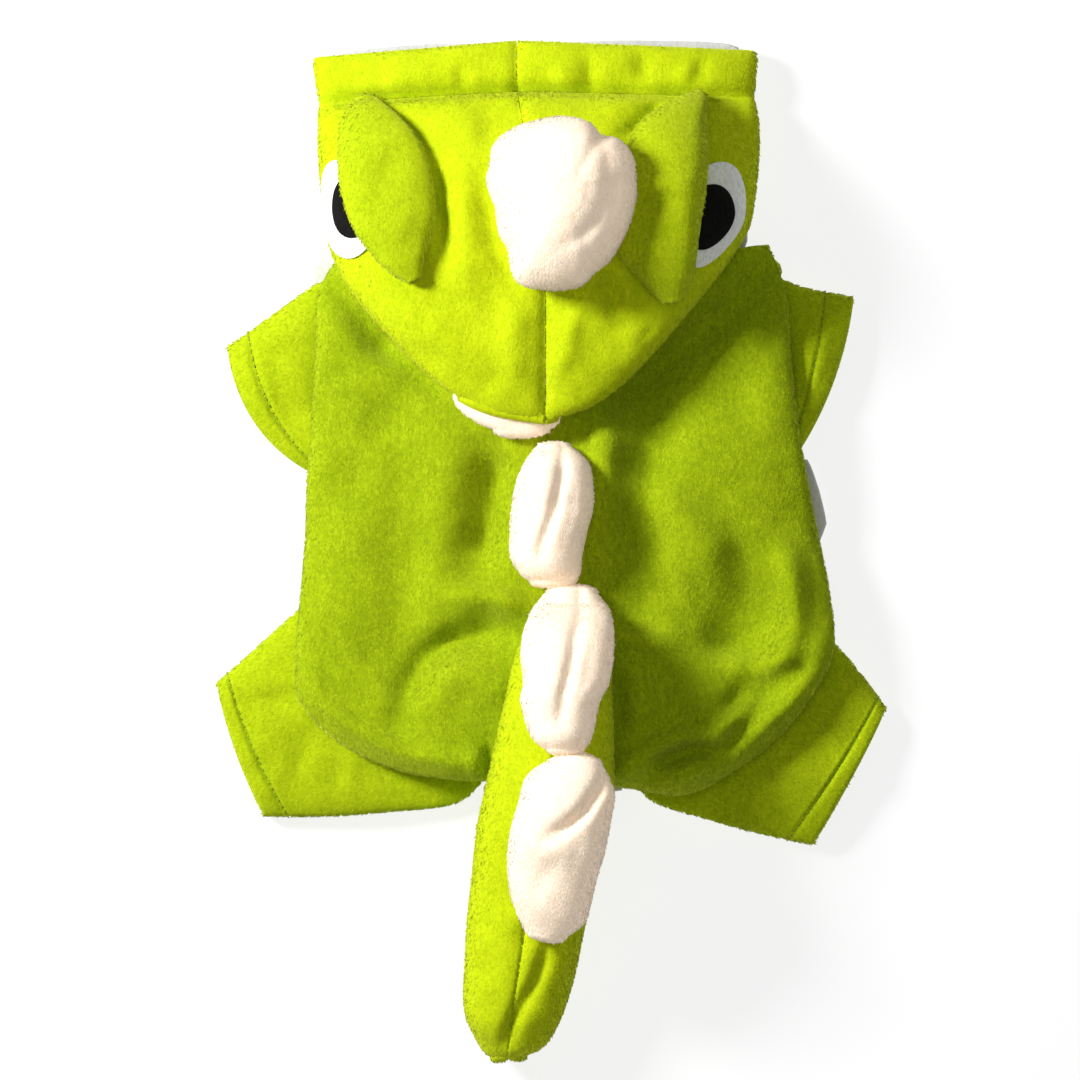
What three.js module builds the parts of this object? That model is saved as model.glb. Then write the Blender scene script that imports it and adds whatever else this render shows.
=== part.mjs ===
// A hooded dog suit in short green plush, laid on its belly with its back up.
// Millimetres. +X is the garment's right as it lies, +Y runs from the tail to the face opening,
// +Z is up, and the belly rests on Z = 0.
import * as THREE from "three";

const CLOTH = 2;
const FELT = 0.9;
const BAND = 3;
const SEAM_GAP = 0.3;
const REST_GAP = 0.6;
const HEM = 9.5;
const HEM_RISE = 0.7;
const HEM_STEP = 0.8;
const HEM_ROLL = 1;

// How round the cloth rolls: 2 is an ellipse, and more is squarer.
const PANEL_ROUND = 2.4;
const TUBE_END_ROUND = 2.35;
const TUBE_TOP_ROUND = 2.7;
const ROLL_ROUND = 2.2;

// Where a tube's folded ends stand in its height, and how deep a round under side would sink.
const TUBE_MIDDLE = 0.42;
const TUBE_SINK = 1.5;
const POLE_REACH = 0.16;

// Steps of the meshes.
const RIM = 0.68;
const UPPER_STEPS = 10;
const LOWER_STEPS = 4;
const BACK_ROWS = 25;
const HOOD_ROWS = 22;
const BRIM_ROWS = 6;
const TUBE_SIDES = 22;
const HORN_SIDES = 22;
const TAIL_ROWS = 22;
const TAIL_SIDES = 10;
const SPIKE_SIDES = 18;
const EAR_ROWS = 12;
const EAR_SIDES = 16;
const OVAL_SIDES = 20;
const OVAL_CIRCLES = 4;
const FOLD_REACH = 2.6;
const NEAR = 1.6;
const NEAR_NAPE = 3.2;

const PLUSH = { color: 0xa6c80c, roughness: 0.95, metalness: 0 };
const PALE_PLUSH = { color: 0xf3ead8, roughness: 0.95, metalness: 0 };
const CREAM_PLUSH = { color: 0xf6dcc0, roughness: 0.95, metalness: 0 };
const WHITE_FELT = { color: 0xf2f3ee, roughness: 0.9, metalness: 0 };
const BLACK_FELT = { color: 0x0c0b09, roughness: 0.85, metalness: 0 };

// The centre-back seam and the hood's centre seam, as X at each Y.
const BACK_SEAM = [
  { y: 213, x: -4.5 },
  { y: 115.5, x: -4.5 },
  { y: 46, x: -1.5 },
  { y: -21, x: 3.5 },
  { y: -105, x: 2 },
];
const HOOD_SEAM = [
  { y: 230, x: -14.5 },
  { y: 192.5, x: -14.5 },
  { y: 147, x: -7 },
  { y: 105, x: -2.5 },
  { y: 46, x: -2.5 },
];

// Sections of the two back halves. Each runs from the centre seam at seamY, crown high, over the
// rolled side at rimX, rimY, belt high, to its sewn lower edge at footX, footY, foot high.
const BACK_LEFT = [
  { seamY: 114, crown: 22, rimX: -90.5, rimY: 121, belt: 9, footX: -84, footY: 120, foot: 2.6 },
  { seamY: 101, crown: 27, rimX: -97.5, rimY: 106.5, belt: 18.5, footX: -86.5, footY: 105, foot: 13.2 },
  { seamY: 80, crown: 31, rimX: -98.5, rimY: 84, belt: 19, footX: -86.5, footY: 83, foot: 13.4 },
  { seamY: 54.5, crown: 31, rimX: -100, rimY: 54.5, belt: 18.5, footX: -86.5, footY: 54.5, foot: 13.2 },
  { seamY: 33.5, crown: 31, rimX: -102, rimY: 30, belt: 17, footX: -90.5, footY: 30, foot: 11.5 },
  { seamY: 12.5, crown: 31, rimX: -103, rimY: 4, belt: 12, footX: -91.5, footY: 4, foot: 2.8 },
  { seamY: -8.5, crown: 31, rimX: -105, rimY: -21, belt: 18, footX: -90.5, footY: -17.5, foot: 9 },
  { seamY: -29.5, crown: 31, rimX: -107, rimY: -46, belt: 19.5, footX: -89, footY: -38, foot: 13.4 },
  { seamY: -48.5, crown: 32, rimX: -104.5, rimY: -64, belt: 20, footX: -84, footY: -49.5, foot: 13.4 },
  { seamY: -63, crown: 32, rimX: -89, rimY: -80, belt: 20, footX: -72, footY: -62, foot: 13.4 },
  { seamY: -72, crown: 31, rimX: -65.5, rimY: -91.5, belt: 19.5, footX: -55, footY: -72, foot: 13.4 },
  { seamY: -78, crown: 29, rimX: -42.5, rimY: -95.5, belt: 21, footX: -35, footY: -80.5, foot: 13 },
  { seamY: -82, crown: 27, rimX: -19.5, rimY: -96.5, belt: 16, footX: -17.5, footY: -85, foot: 8 },
  { seamY: -84, crown: 26, rimX: 2, rimY: -97.5, belt: 12, footX: 2, footY: -90, foot: 2.8 },
];
const BACK_RIGHT = [
  { seamY: 114, crown: 22, rimX: 91, rimY: 127.5, belt: 9, footX: 86, footY: 122.5, foot: 2.6 },
  { seamY: 101, crown: 27, rimX: 97.5, rimY: 109, belt: 18.5, footX: 87.5, footY: 106.5, foot: 13.2 },
  { seamY: 80, crown: 31, rimX: 99.5, rimY: 86, belt: 19, footX: 88.5, footY: 84, foot: 13.4 },
  { seamY: 54.5, crown: 31, rimX: 102.5, rimY: 56.5, belt: 18.5, footX: 89, footY: 56.5, foot: 13.2 },
  { seamY: 33.5, crown: 31, rimX: 106.5, rimY: 31.5, belt: 17, footX: 95, footY: 31.5, foot: 11.5 },
  { seamY: 12.5, crown: 31, rimX: 111, rimY: 8.5, belt: 12, footX: 99.5, footY: 8.5, foot: 2.8 },
  { seamY: -8.5, crown: 31, rimX: 116, rimY: -17, belt: 18, footX: 102, footY: -15, foot: 9 },
  { seamY: -29.5, crown: 31, rimX: 118, rimY: -38, belt: 19.5, footX: 100, footY: -30, foot: 13.4 },
  { seamY: -48.5, crown: 32, rimX: 113.5, rimY: -53, belt: 20, footX: 94.5, footY: -42, foot: 13.4 },
  { seamY: -63, crown: 32, rimX: 98, rimY: -74.5, belt: 20, footX: 81.5, footY: -56.5, foot: 13.4 },
  { seamY: -72, crown: 31, rimX: 78.5, rimY: -90.5, belt: 19.5, footX: 65, footY: -69.5, foot: 13.4 },
  { seamY: -78, crown: 29, rimX: 56, rimY: -102, belt: 19, footX: 44.5, footY: -80.5, foot: 13.2 },
  { seamY: -82, crown: 27, rimX: 29, rimY: -99, belt: 16, footX: 23, footY: -85.5, foot: 8 },
  { seamY: -84, crown: 26, rimX: 2, rimY: -97.5, belt: 12, footX: 2, footY: -90, foot: 2.8 },
];

// Sections of the two hood halves, from the brim seam to the nape's rounded tip. The lower edge
// follows the throat panel at first and then the neck seam, under the folded nape.
const HOOD_LEFT = [
  { seamY: 191.5, crown: 27, rimX: -97, rimY: 186.5, belt: 12, footX: -89.5, footY: 186.5, foot: 2.6 },
  { seamY: 184, crown: 37, rimX: -97.5, rimY: 176.5, belt: 14, footX: -89, footY: 176.5, foot: 2.6 },
  { seamY: 170, crown: 45, rimX: -97, rimY: 159.5, belt: 16, footX: -87, footY: 159.5, foot: 2.6 },
  { seamY: 151, crown: 51, rimX: -94.5, rimY: 138.5, belt: 18, footX: -84.5, footY: 140.5, foot: 2.6 },
  { seamY: 132.5, crown: 54, rimX: -91.5, rimY: 123.5, belt: 23, footX: -79.5, footY: 126.5, foot: 4 },
  { seamY: 113.5, crown: 54, rimX: -84, rimY: 109, belt: 30, footX: -63.5, footY: 123, foot: 18 },
  { seamY: 98.5, crown: 53, rimX: -70.5, rimY: 92.5, belt: 34, footX: -47, footY: 119.5, foot: 22 },
  { seamY: 88, crown: 52, rimX: -56, rimY: 77.5, belt: 37, footX: -30, footY: 117.5, foot: 24 },
  { seamY: 80.5, crown: 51, rimX: -42, rimY: 66, belt: 39, footX: -19.5, footY: 116.5, foot: 25 },
  { seamY: 75.5, crown: 50, rimX: -25, rimY: 58, belt: 41, footX: -11, footY: 115.5, foot: 25 },
  { seamY: 73, crown: 49, rimX: -2.5, rimY: 54, belt: 42, footX: -2.5, footY: 114.5, foot: 25 },
];
const HOOD_RIGHT = [
  { seamY: 191.5, crown: 27, rimX: 84.5, rimY: 189, belt: 12, footX: 78.5, footY: 189, foot: 2.6 },
  { seamY: 184, crown: 37, rimX: 86.5, rimY: 179, belt: 14, footX: 78.5, footY: 179, foot: 2.6 },
  { seamY: 170, crown: 45, rimX: 86.5, rimY: 164, belt: 16, footX: 77.5, footY: 164, foot: 2.6 },
  { seamY: 151, crown: 51, rimX: 84.5, rimY: 145, belt: 18, footX: 76, footY: 145.5, foot: 2.6 },
  { seamY: 132.5, crown: 54, rimX: 81, rimY: 132, belt: 23, footX: 71, footY: 132, foot: 4 },
  { seamY: 113.5, crown: 54, rimX: 69, rimY: 114, belt: 30, footX: 54, footY: 127.5, foot: 18 },
  { seamY: 98.5, crown: 53, rimX: 57.5, rimY: 100, belt: 34, footX: 37, footY: 123.5, foot: 22 },
  { seamY: 88, crown: 52, rimX: 44, rimY: 84, belt: 37, footX: 22.5, footY: 118.5, foot: 24 },
  { seamY: 80.5, crown: 51, rimX: 30.5, rimY: 70, belt: 39, footX: 12, footY: 117, foot: 25 },
  { seamY: 75.5, crown: 50, rimX: 15.5, rimY: 59.5, belt: 41, footX: 4.5, footY: 115.5, foot: 25 },
  { seamY: 73, crown: 49, rimX: -2.5, rimY: 54, belt: 42, footX: -2.5, footY: 114.5, foot: 25 },
];

// Sections of the turned band round the face opening, from its free edge to the hood.
const BRIM_LEFT = [
  { seamY: 213, crown: 19, rimX: -99, rimY: 206, belt: 8, footX: -92, footY: 206, foot: 2.6 },
  { seamY: 210.5, crown: 23, rimX: -99.5, rimY: 202.5, belt: 10, footX: -92, footY: 202.5, foot: 2.6 },
  { seamY: 202.5, crown: 26, rimX: -98.5, rimY: 195.5, belt: 11, footX: -91, footY: 195.5, foot: 2.6 },
  { seamY: 192, crown: 25, rimX: -97, rimY: 187, belt: 11, footX: -89.5, footY: 187, foot: 2.6 },
];
const BRIM_RIGHT = [
  { seamY: 213, crown: 19, rimX: 85, rimY: 209, belt: 8, footX: 78.5, footY: 209, foot: 2.6 },
  { seamY: 210.5, crown: 23, rimX: 86, rimY: 206, belt: 10, footX: 78.5, footY: 206, foot: 2.6 },
  { seamY: 202.5, crown: 26, rimX: 85.5, rimY: 198, belt: 11, footX: 78.5, footY: 198, foot: 2.6 },
  { seamY: 192, crown: 25, rimX: 84.5, rimY: 189.5, belt: 11, footX: 78.5, footY: 189.5, foot: 2.6 },
];

// Soft folds. Each is a long bump (depth over 0) or trough (under 0) centred at x, y, turned by
// turn degrees from +X, with half its length and half its width.
const BACK_FOLDS = [
  { x: -70, y: 92.5, long: 18, wide: 9, turn: 60, depth: -5 },
  { x: -63, y: 46, long: 26, wide: 8, turn: 88, depth: -3 },
  { x: -47, y: 61, long: 24, wide: 9, turn: -60, depth: 2.5 },
  { x: -32.5, y: -17, long: 46, wide: 8, turn: 84, depth: -4.5 },
  { x: -19, y: -31.5, long: 18, wide: 6, turn: 84, depth: 3 },
  { x: -51, y: -59, long: 24, wide: 9, turn: 48, depth: 3 },
  { x: -60.5, y: -68, long: 20, wide: 7, turn: 62, depth: -3.5 },
  { x: -26.5, y: -86.5, long: 12, wide: 5, turn: 75, depth: -4 },
  { x: 30.5, y: 33.5, long: 60, wide: 8, turn: 88, depth: -5 },
  { x: 62.5, y: 56.5, long: 36, wide: 16, turn: 75, depth: -4 },
  { x: 54, y: 25, long: 20, wide: 7, turn: -38, depth: 4 },
  { x: 85.5, y: 4, long: 26, wide: 8, turn: -32, depth: 4 },
  { x: 76, y: -20, long: 20, wide: 12, turn: -55, depth: -7 },
  { x: 82.5, y: -44, long: 24, wide: 7, turn: 6, depth: 4 },
  { x: 34.5, y: -38, long: 10, wide: 7, turn: 0, depth: 3 },
  { x: 54, y: -72, long: 30, wide: 6, turn: 18, depth: 3.5 },
  { x: 58, y: -84, long: 28, wide: 6, turn: 24, depth: -4 },
  { x: 30.5, y: -68, long: 28, wide: 6, turn: 80, depth: -4 },
];
const HOOD_FOLDS = [
  { x: -37.5, y: 126, long: 24, wide: 8, turn: 82, depth: -5 },
  { x: -51, y: 86, long: 26, wide: 8, turn: -42, depth: 3 },
  { x: 25.5, y: 109, long: 26, wide: 8, turn: -32, depth: -6 },
  { x: 35.5, y: 176.5, long: 15, wide: 6, turn: 40, depth: -4 },
  { x: 46.5, y: 168, long: 14, wide: 5, turn: 55, depth: 3 },
  { x: -40.5, y: 180.5, long: 14, wide: 5, turn: 70, depth: -3 },
  { x: 12, y: 80, long: 20, wide: 7, turn: 50, depth: -2.5 },
  { x: 73, y: 176.5, long: 16, wide: 7, turn: 80, depth: -3 },
];
const BRIM_FOLDS = [
  { x: 37, y: 199.5, long: 16, wide: 5, turn: 8, depth: -2 },
  { x: -63.5, y: 197.5, long: 20, wide: 5, turn: 6, depth: 1.5 },
];

// Flat outlines of the panels on the surface, clockwise from the face opening's left end.
const THROAT_OUTLINE = [
  { x: -92, y: 207.5 }, { x: -79.5, y: 210 }, { x: -51, y: 212.5 }, { x: -13, y: 212.5 },
  { x: 29, y: 214 }, { x: 62.5, y: 213.5 }, { x: 78.5, y: 211 }, { x: 81.5, y: 180.5 },
  { x: 81, y: 151 }, { x: 80, y: 123.5 }, { x: -5, y: 122 }, { x: -84, y: 122 },
  { x: -88, y: 140.5 }, { x: -92, y: 176.5 },
];
const BELLY_OUTLINE = [
  { x: -96.5, y: 121 }, { x: -5, y: 121.5 }, { x: 87.5, y: 123 }, { x: 91.5, y: 117 },
  { x: 91, y: 84 }, { x: 91.5, y: 39.5 }, { x: 107.5, y: 38 }, { x: 112.5, y: 25 },
  { x: 115.5, y: 11 }, { x: 109.5, y: -4 }, { x: 104.5, y: -22.5 }, { x: 92, y: -38 },
  { x: 62.5, y: -63 }, { x: 31.5, y: -90.5 }, { x: 29.5, y: -101 }, { x: 2, y: -103.5 },
  { x: -28.5, y: -101.5 }, { x: -26.5, y: -93 }, { x: -55, y: -62 }, { x: -80.5, y: -35.5 },
  { x: -96.5, y: -18.5 }, { x: -97, y: -4 }, { x: -96.5, y: 23.5 }, { x: -86.5, y: 27 },
  { x: -89, y: 50.5 }, { x: -89.5, y: 84 }, { x: -89, y: 109 }, { x: -89.5, y: 115 },
  { x: -103, y: 115 },
];

// Tubes lying flat. Each section is a ring from its upper end to its lower end, with a height,
// and bow is how far its middle stands out past the line between the ends.
const SLEEVE_LEFT = [
  { upperX: -90, upperY: 111.5, lowerX: -89, lowerY: 49.5, height: 12.4, bow: 0 },
  { upperX: -98, upperY: 111.5, lowerX: -91.5, lowerY: 41, height: 12.8, bow: 2 },
  { upperX: -112.5, upperY: 101.5, lowerX: -92, lowerY: 34.5, height: 15.5, bow: 4 },
  { upperX: -126.5, upperY: 91.5, lowerX: -94, lowerY: 32, height: 14.5, bow: 7 },
  { upperX: -135.5, upperY: 85.5, lowerX: -96.5, lowerY: 31, height: 12, bow: 9 },
];
const SLEEVE_RIGHT = [
  { upperX: 93.5, upperY: 115, lowerX: 92, lowerY: 49.5, height: 12.4, bow: 0 },
  { upperX: 100, upperY: 112, lowerX: 94.5, lowerY: 43.5, height: 12.8, bow: 1 },
  { upperX: 109.5, upperY: 109, lowerX: 97.5, lowerY: 42, height: 15.5, bow: 2 },
  { upperX: 118, upperY: 107.5, lowerX: 100, lowerY: 41, height: 14.5, bow: 3 },
  { upperX: 126, upperY: 106, lowerX: 102.5, lowerY: 40.5, height: 12, bow: 4 },
];
const LEG_LEFT = [
  { upperX: -98, upperY: -20, lowerX: -27.5, lowerY: -95, height: 12.4, bow: 0 },
  { upperX: -105.5, upperY: -25, lowerX: -40, lowerY: -106, height: 12.8, bow: 1 },
  { upperX: -117.5, upperY: -35.5, lowerX: -68, lowerY: -109.5, height: 15.5, bow: 1 },
  { upperX: -129, upperY: -46, lowerX: -95, lowerY: -111.5, height: 14.5, bow: 2 },
  { upperX: -140, upperY: -55.5, lowerX: -120, lowerY: -111.5, height: 12, bow: 2 },
];
const LEG_RIGHT = [
  { upperX: 107, upperY: -26, lowerX: 33, lowerY: -93, height: 12.4, bow: 0 },
  { upperX: 117.5, upperY: -38, lowerX: 42, lowerY: -105, height: 12.8, bow: 1 },
  { upperX: 125.5, upperY: -47, lowerX: 64.5, lowerY: -112.5, height: 15.5, bow: 1 },
  { upperX: 133, upperY: -56.5, lowerX: 86.5, lowerY: -118.5, height: 14.5, bow: 2 },
  { upperX: 140, upperY: -66, lowerX: 109, lowerY: -123.5, height: 12, bow: 1 },
];

// Stuffed rolls. Each section is a ring across the roll's run, with its centre, half width left
// and right of the run, height over and under the centre. Their ends close to a point.
const TAIL = [
  { x: 4.5, y: -26, z: 32, left: 5, right: 5, over: 4, under: 4 },
  { x: 4, y: -32, z: 35, left: 13, right: 13, over: 10, under: 8 },
  { x: 3.5, y: -46, z: 37, left: 18.5, right: 20, over: 17, under: 12 },
  { x: 2.5, y: -63, z: 38, left: 21.5, right: 22.5, over: 19, under: 12 },
  { x: 1, y: -82, z: 37.5, left: 24, right: 24.5, over: 21, under: 16 },
  { x: -1, y: -101, z: 34, left: 26, right: 26.5, over: 23, under: 22 },
  { x: -5, y: -119.5, z: 29, left: 26, right: 26, over: 23, under: 24 },
  { x: -8, y: -138.5, z: 23.5, left: 25, right: 25, over: 23, under: 25 },
  { x: -11, y: -157.5, z: 21.5, left: 24, right: 24, over: 22, under: 25 },
  { x: -13.5, y: -174.5, z: 20.5, left: 22.5, right: 23, over: 21, under: 24 },
  { x: -16, y: -191, z: 19, left: 20.5, right: 21, over: 19.5, under: 22 },
  { x: -17, y: -202.5, z: 17.5, left: 16.5, right: 16.5, over: 16, under: 18.5 },
  { x: -17.5, y: -211.5, z: 16, left: 10, right: 10, over: 10, under: 12 },
];
const SPIKES = {
  spike_1: [
    { x: -34, y: 75, z: 3, left: 8, right: 8, over: 5 },
    { x: -29, y: 68, z: 3, left: 14, right: 14, over: 6 },
    { x: -21.5, y: 59.5, z: 3, left: 19, right: 19, over: 7 },
    { x: -15, y: 53, z: 3, left: 18, right: 18, over: 7 },
    { x: -11.5, y: 48.5, z: 3, left: 11, right: 11, over: 7 },
  ],
  spike_2: [
    { x: 0, y: 42, z: 4, left: 10, right: 10, over: 10 },
    { x: 0, y: 35.5, z: 4, left: 15.5, right: 16.5, over: 16 },
    { x: 0, y: 25, z: 4, left: 16.5, right: 17.5, over: 19 },
    { x: 0, y: 14.5, z: 4, left: 17, right: 17, over: 20 },
    { x: -0.5, y: 4, z: 4, left: 17, right: 16, over: 19 },
    { x: -1, y: -5.5, z: 4, left: 16, right: 13.5, over: 16 },
    { x: -1, y: -12, z: 4, left: 11, right: 8, over: 10 },
  ],
  spike_3: [
    { x: 11, y: -18, z: 4, left: 12, right: 11, over: 9 },
    { x: 9.5, y: -25, z: 4, left: 17.5, right: 15.5, over: 15 },
    { x: 7.5, y: -37, z: 4, left: 19, right: 18, over: 18 },
    { x: 6, y: -49.5, z: 4, left: 18.5, right: 18.5, over: 19 },
    { x: 5, y: -62, z: 4, left: 18, right: 16.5, over: 18 },
    { x: 5, y: -73, z: 4, left: 15.5, right: 12.5, over: 14 },
    { x: 5, y: -80.5, z: 4, left: 10, right: 7, over: 9 },
  ],
  spike_4: [
    { x: 11, y: -87, z: 4, left: 11, right: 9, over: 9 },
    { x: 8.5, y: -94.5, z: 4, left: 18, right: 16, over: 15 },
    { x: 5, y: -107, z: 4, left: 21, right: 21, over: 19 },
    { x: 2.5, y: -121, z: 4, left: 21, right: 21, over: 21 },
    { x: 0, y: -134.5, z: 4, left: 18.5, right: 20, over: 20 },
    { x: -2.5, y: -147, z: 4, left: 15, right: 17.5, over: 17 },
    { x: -4, y: -157, z: 4, left: 9.5, right: 12, over: 11 },
  ],
};
const EARS = {
  ear_left: [
    { x: -76, y: 187.5, z: 5, left: 4, right: 5, over: 5 },
    { x: -74, y: 179, z: 7, left: 13, right: 9, over: 8 },
    { x: -70.5, y: 166, z: 9, left: 17.5, right: 14, over: 10 },
    { x: -66, y: 151, z: 10, left: 17, right: 17, over: 11 },
    { x: -62.5, y: 138, z: 10, left: 15.5, right: 15, over: 10 },
    { x: -59.5, y: 126, z: 8, left: 12, right: 10, over: 8 },
    { x: -57.5, y: 116, z: 6, left: 5, right: 5, over: 5 },
  ],
  ear_right: [
    { x: 61, y: 190, z: 5, left: 5, right: 4, over: 5 },
    { x: 58, y: 181.5, z: 6, left: 13, right: 6, over: 7 },
    { x: 54.5, y: 168, z: 8, left: 15, right: 10.5, over: 9 },
    { x: 50.5, y: 153.5, z: 9, left: 13.5, right: 14, over: 10 },
    { x: 46.5, y: 138.5, z: 9, left: 13, right: 16, over: 10 },
    { x: 44.5, y: 124, z: 7, left: 14, right: 14, over: 9 },
    { x: 43.5, y: 111.5, z: 5, left: 7, right: 7, over: 6 },
  ],
};

// The horn's outline from above, as its reach from the middle at each angle in degrees from +X,
// and its slices from the sewn base up. The groove of its seam runs down its right side.
const HORN = { x: 3.5, y: 145, height: 42, leanX: 2, leanY: 2, groove: 2.4, grooveAt: 20, grooveSpread: 16 };
const HORN_OUTLINE = [
  { deg: 4, reach: 30.7 }, { deg: 38, reach: 34 }, { deg: 62, reach: 34 }, { deg: 90, reach: 34.4 },
  { deg: 118, reach: 35 }, { deg: 140, reach: 36 }, { deg: 160, reach: 31 }, { deg: 180, reach: 27.5 },
  { deg: 215, reach: 29 }, { deg: 242, reach: 38 }, { deg: 267, reach: 36.5 }, { deg: 290, reach: 31.5 },
  { deg: 328, reach: 29 },
];
const HORN_SLICES = [
  { at: 0, width: 0.3 }, { at: 0, width: 0.62 }, { at: 0, width: 0.9 }, { at: 0.14, width: 0.98 },
  { at: 0.32, width: 1 }, { at: 0.5, width: 0.95 }, { at: 0.67, width: 0.84 }, { at: 0.81, width: 0.67 },
  { at: 0.91, width: 0.46 }, { at: 0.98, width: 0.22 },
];

// Felt ovals on the hood halves: their middle and half sizes, as shares of the way along the
// sections and across them.
const EYES = {
  left: {
    white: { along: 0.3, across: 0.53, long: 0.11, wide: 0.15 },
    pupil: { along: 0.285, across: 0.49, long: 0.065, wide: 0.075 },
  },
  right: {
    white: { along: 0.34, across: 0.44, long: 0.13, wide: 0.13 },
    pupil: { along: 0.34, across: 0.425, long: 0.088, wide: 0.095 },
  },
};

const clamp = (value, low, high) => Math.min(high, Math.max(low, value));
const radians = (degrees) => (degrees * Math.PI) / 180;
const power = (value, exponent) => Math.sign(value) * Math.abs(value) ** exponent;

// The row at a share of the way down a table, with every column on a smooth curve.
function rowAt(rows, share) {
  const at = share * (rows.length - 1);
  const first = Math.min(Math.floor(at), rows.length - 2);
  const part = at - first;
  const row = {};
  for (const name of Object.keys(rows[0])) {
    const near = [-1, 0, 1, 2].map((step) => clamp(first + step, 0, rows.length - 1));
    const [a, b, c, d] = near.map((k) => rows[k][name]);
    const bend = 2 * a - 5 * b + 4 * c - d + part * (3 * (b - c) + d - a);
    row[name] = b + 0.5 * part * (c - a + part * bend);
  }
  return row;
}

// X of a seam at a given Y, from its table of points in falling Y.
function seamAt(seam, y) {
  const next = clamp(seam.findIndex((point) => point.y < y), 1, seam.length - 1);
  const [above, below] = [seam[next - 1], seam[next]];
  const part = clamp((above.y - y) / (above.y - below.y), 0, 1);
  return above.x + part * (below.x - above.x);
}

// Height that the folds add at a place.
function foldHeight(folds, x, y) {
  let height = 0;
  for (const fold of folds) {
    const turn = radians(fold.turn);
    const along = ((x - fold.x) * Math.cos(turn) + (y - fold.y) * Math.sin(turn)) / fold.long;
    const across = ((y - fold.y) * Math.cos(turn) - (x - fold.x) * Math.sin(turn)) / fold.wide;
    const far = along * along + across * across;
    if (far < FOLD_REACH * FOLD_REACH) height += fold.depth * Math.exp(-far);
  }
  return height;
}

// A closed mesh from a list of points and triangles, turned so that its faces point out.
function solid(points, triangles) {
  let volume = 0;
  for (const [a, b, c] of triangles) {
    volume += points[a].dot(new THREE.Vector3().crossVectors(points[b], points[c]));
  }
  const turned = volume < 0 ? triangles.map(([a, b, c]) => [a, c, b]) : triangles;
  const geometry = new THREE.BufferGeometry();
  const places = points.flatMap((point) => point.toArray());
  geometry.setAttribute("position", new THREE.Float32BufferAttribute(places, 3));
  geometry.setIndex(turned.flat());
  geometry.computeVertexNormals();
  return geometry;
}

// Two triangles for each cell of a grid of point numbers.
function cells(triangles, rows, columns, number, round = false) {
  const last = round ? columns : columns - 1;
  for (let i = 0; i < rows - 1; i++) {
    for (let j = 0; j < last; j++) {
      const k = (j + 1) % columns;
      triangles.push([number(i, j), number(i + 1, j), number(i + 1, k)]);
      triangles.push([number(i, j), number(i + 1, k), number(i, k)]);
    }
  }
}

// Normals of a grid of points, on the side that the test calls out.
function gridNormals(grid, round, isOut) {
  const rows = grid.length;
  const columns = grid[0].length;
  const normals = grid.map((row, i) =>
    row.map((point, j) => {
      const next = grid[Math.min(i + 1, rows - 1)][j];
      const down = new THREE.Vector3().subVectors(next, grid[Math.max(i - 1, 0)][j]);
      const before = round ? (j + columns - 1) % columns : Math.max(j - 1, 0);
      const after = round ? (j + 1) % columns : Math.min(j + 1, columns - 1);
      const across = new THREE.Vector3().subVectors(row[after], row[before]);
      return new THREE.Vector3().crossVectors(down, across).normalize();
    }),
  );
  const middle = Math.floor(rows / 2);
  const sign = isOut(grid[middle][0], normals[middle][0], grid[middle]) ? 1 : -1;
  return normals.map((row) => row.map((normal) => normal.multiplyScalar(sign)));
}

// Cloth with its outer side on a grid of points, and its inner side a thickness behind them.
function wall(grid, thickness, { round = false, isOut, keep = (point) => point }) {
  const rows = grid.length;
  const columns = grid[0].length;
  const normals = gridNormals(grid, round, isOut);
  const inner = grid.map((row, i) =>
    row.map((point, j) => keep(point.clone().addScaledVector(normals[i][j], -thickness))),
  );
  const points = [...grid.flat(), ...inner.flat()];
  const outside = (i, j) => i * columns + j;
  const inside = (i, j) => rows * columns + i * columns + j;
  const triangles = [];
  cells(triangles, rows, columns, outside, round);
  const back = [];
  cells(back, rows, columns, inside, round);
  triangles.push(...back.map(([a, b, c]) => [a, c, b]));
  const last = round ? columns : columns - 1;
  for (let j = 0; j < last; j++) {
    const k = (j + 1) % columns;
    triangles.push([outside(0, k), inside(0, k), inside(0, j)]);
    triangles.push([outside(0, k), inside(0, j), outside(0, j)]);
    const end = rows - 1;
    triangles.push([outside(end, j), inside(end, j), inside(end, k)]);
    triangles.push([outside(end, j), inside(end, k), outside(end, k)]);
  }
  for (let i = 0; i < rows - 1 && !round; i++) {
    const end = columns - 1;
    triangles.push([outside(i, 0), inside(i, 0), inside(i + 1, 0)]);
    triangles.push([outside(i, 0), inside(i + 1, 0), outside(i + 1, 0)]);
    triangles.push([outside(i + 1, end), inside(i + 1, end), inside(i, end)]);
    triangles.push([outside(i + 1, end), inside(i, end), outside(i, end)]);
  }
  return solid(points, triangles);
}

// The highest point of some pieces at a place, and minus infinity beside them.
function skyline(pieces) {
  const triangles = [];
  for (const piece of pieces) {
    const position = piece.geometry.getAttribute("position");
    const index = piece.geometry.getIndex().array;
    for (let k = 0; k < index.length; k += 3) {
      const corners = [0, 1, 2].map((step) =>
        new THREE.Vector3().fromBufferAttribute(position, index[k + step]),
      );
      const area = (corners[1].x - corners[0].x) * (corners[2].y - corners[0].y)
        - (corners[2].x - corners[0].x) * (corners[1].y - corners[0].y);
      if (area > 1e-6) triangles.push({ corners, area });
    }
  }
  return (x, y) => {
    let top = -Infinity;
    for (const { corners: [a, b, c], area } of triangles) {
      const u = ((b.x - x) * (c.y - y) - (c.x - x) * (b.y - y)) / area;
      if (u < 0 || u > 1) continue;
      const v = ((c.x - x) * (a.y - y) - (a.x - x) * (c.y - y)) / area;
      if (v < 0 || u + v > 1) continue;
      top = Math.max(top, u * a.z + v * b.z + (1 - u - v) * c.z);
    }
    return top;
  };
}

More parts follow.
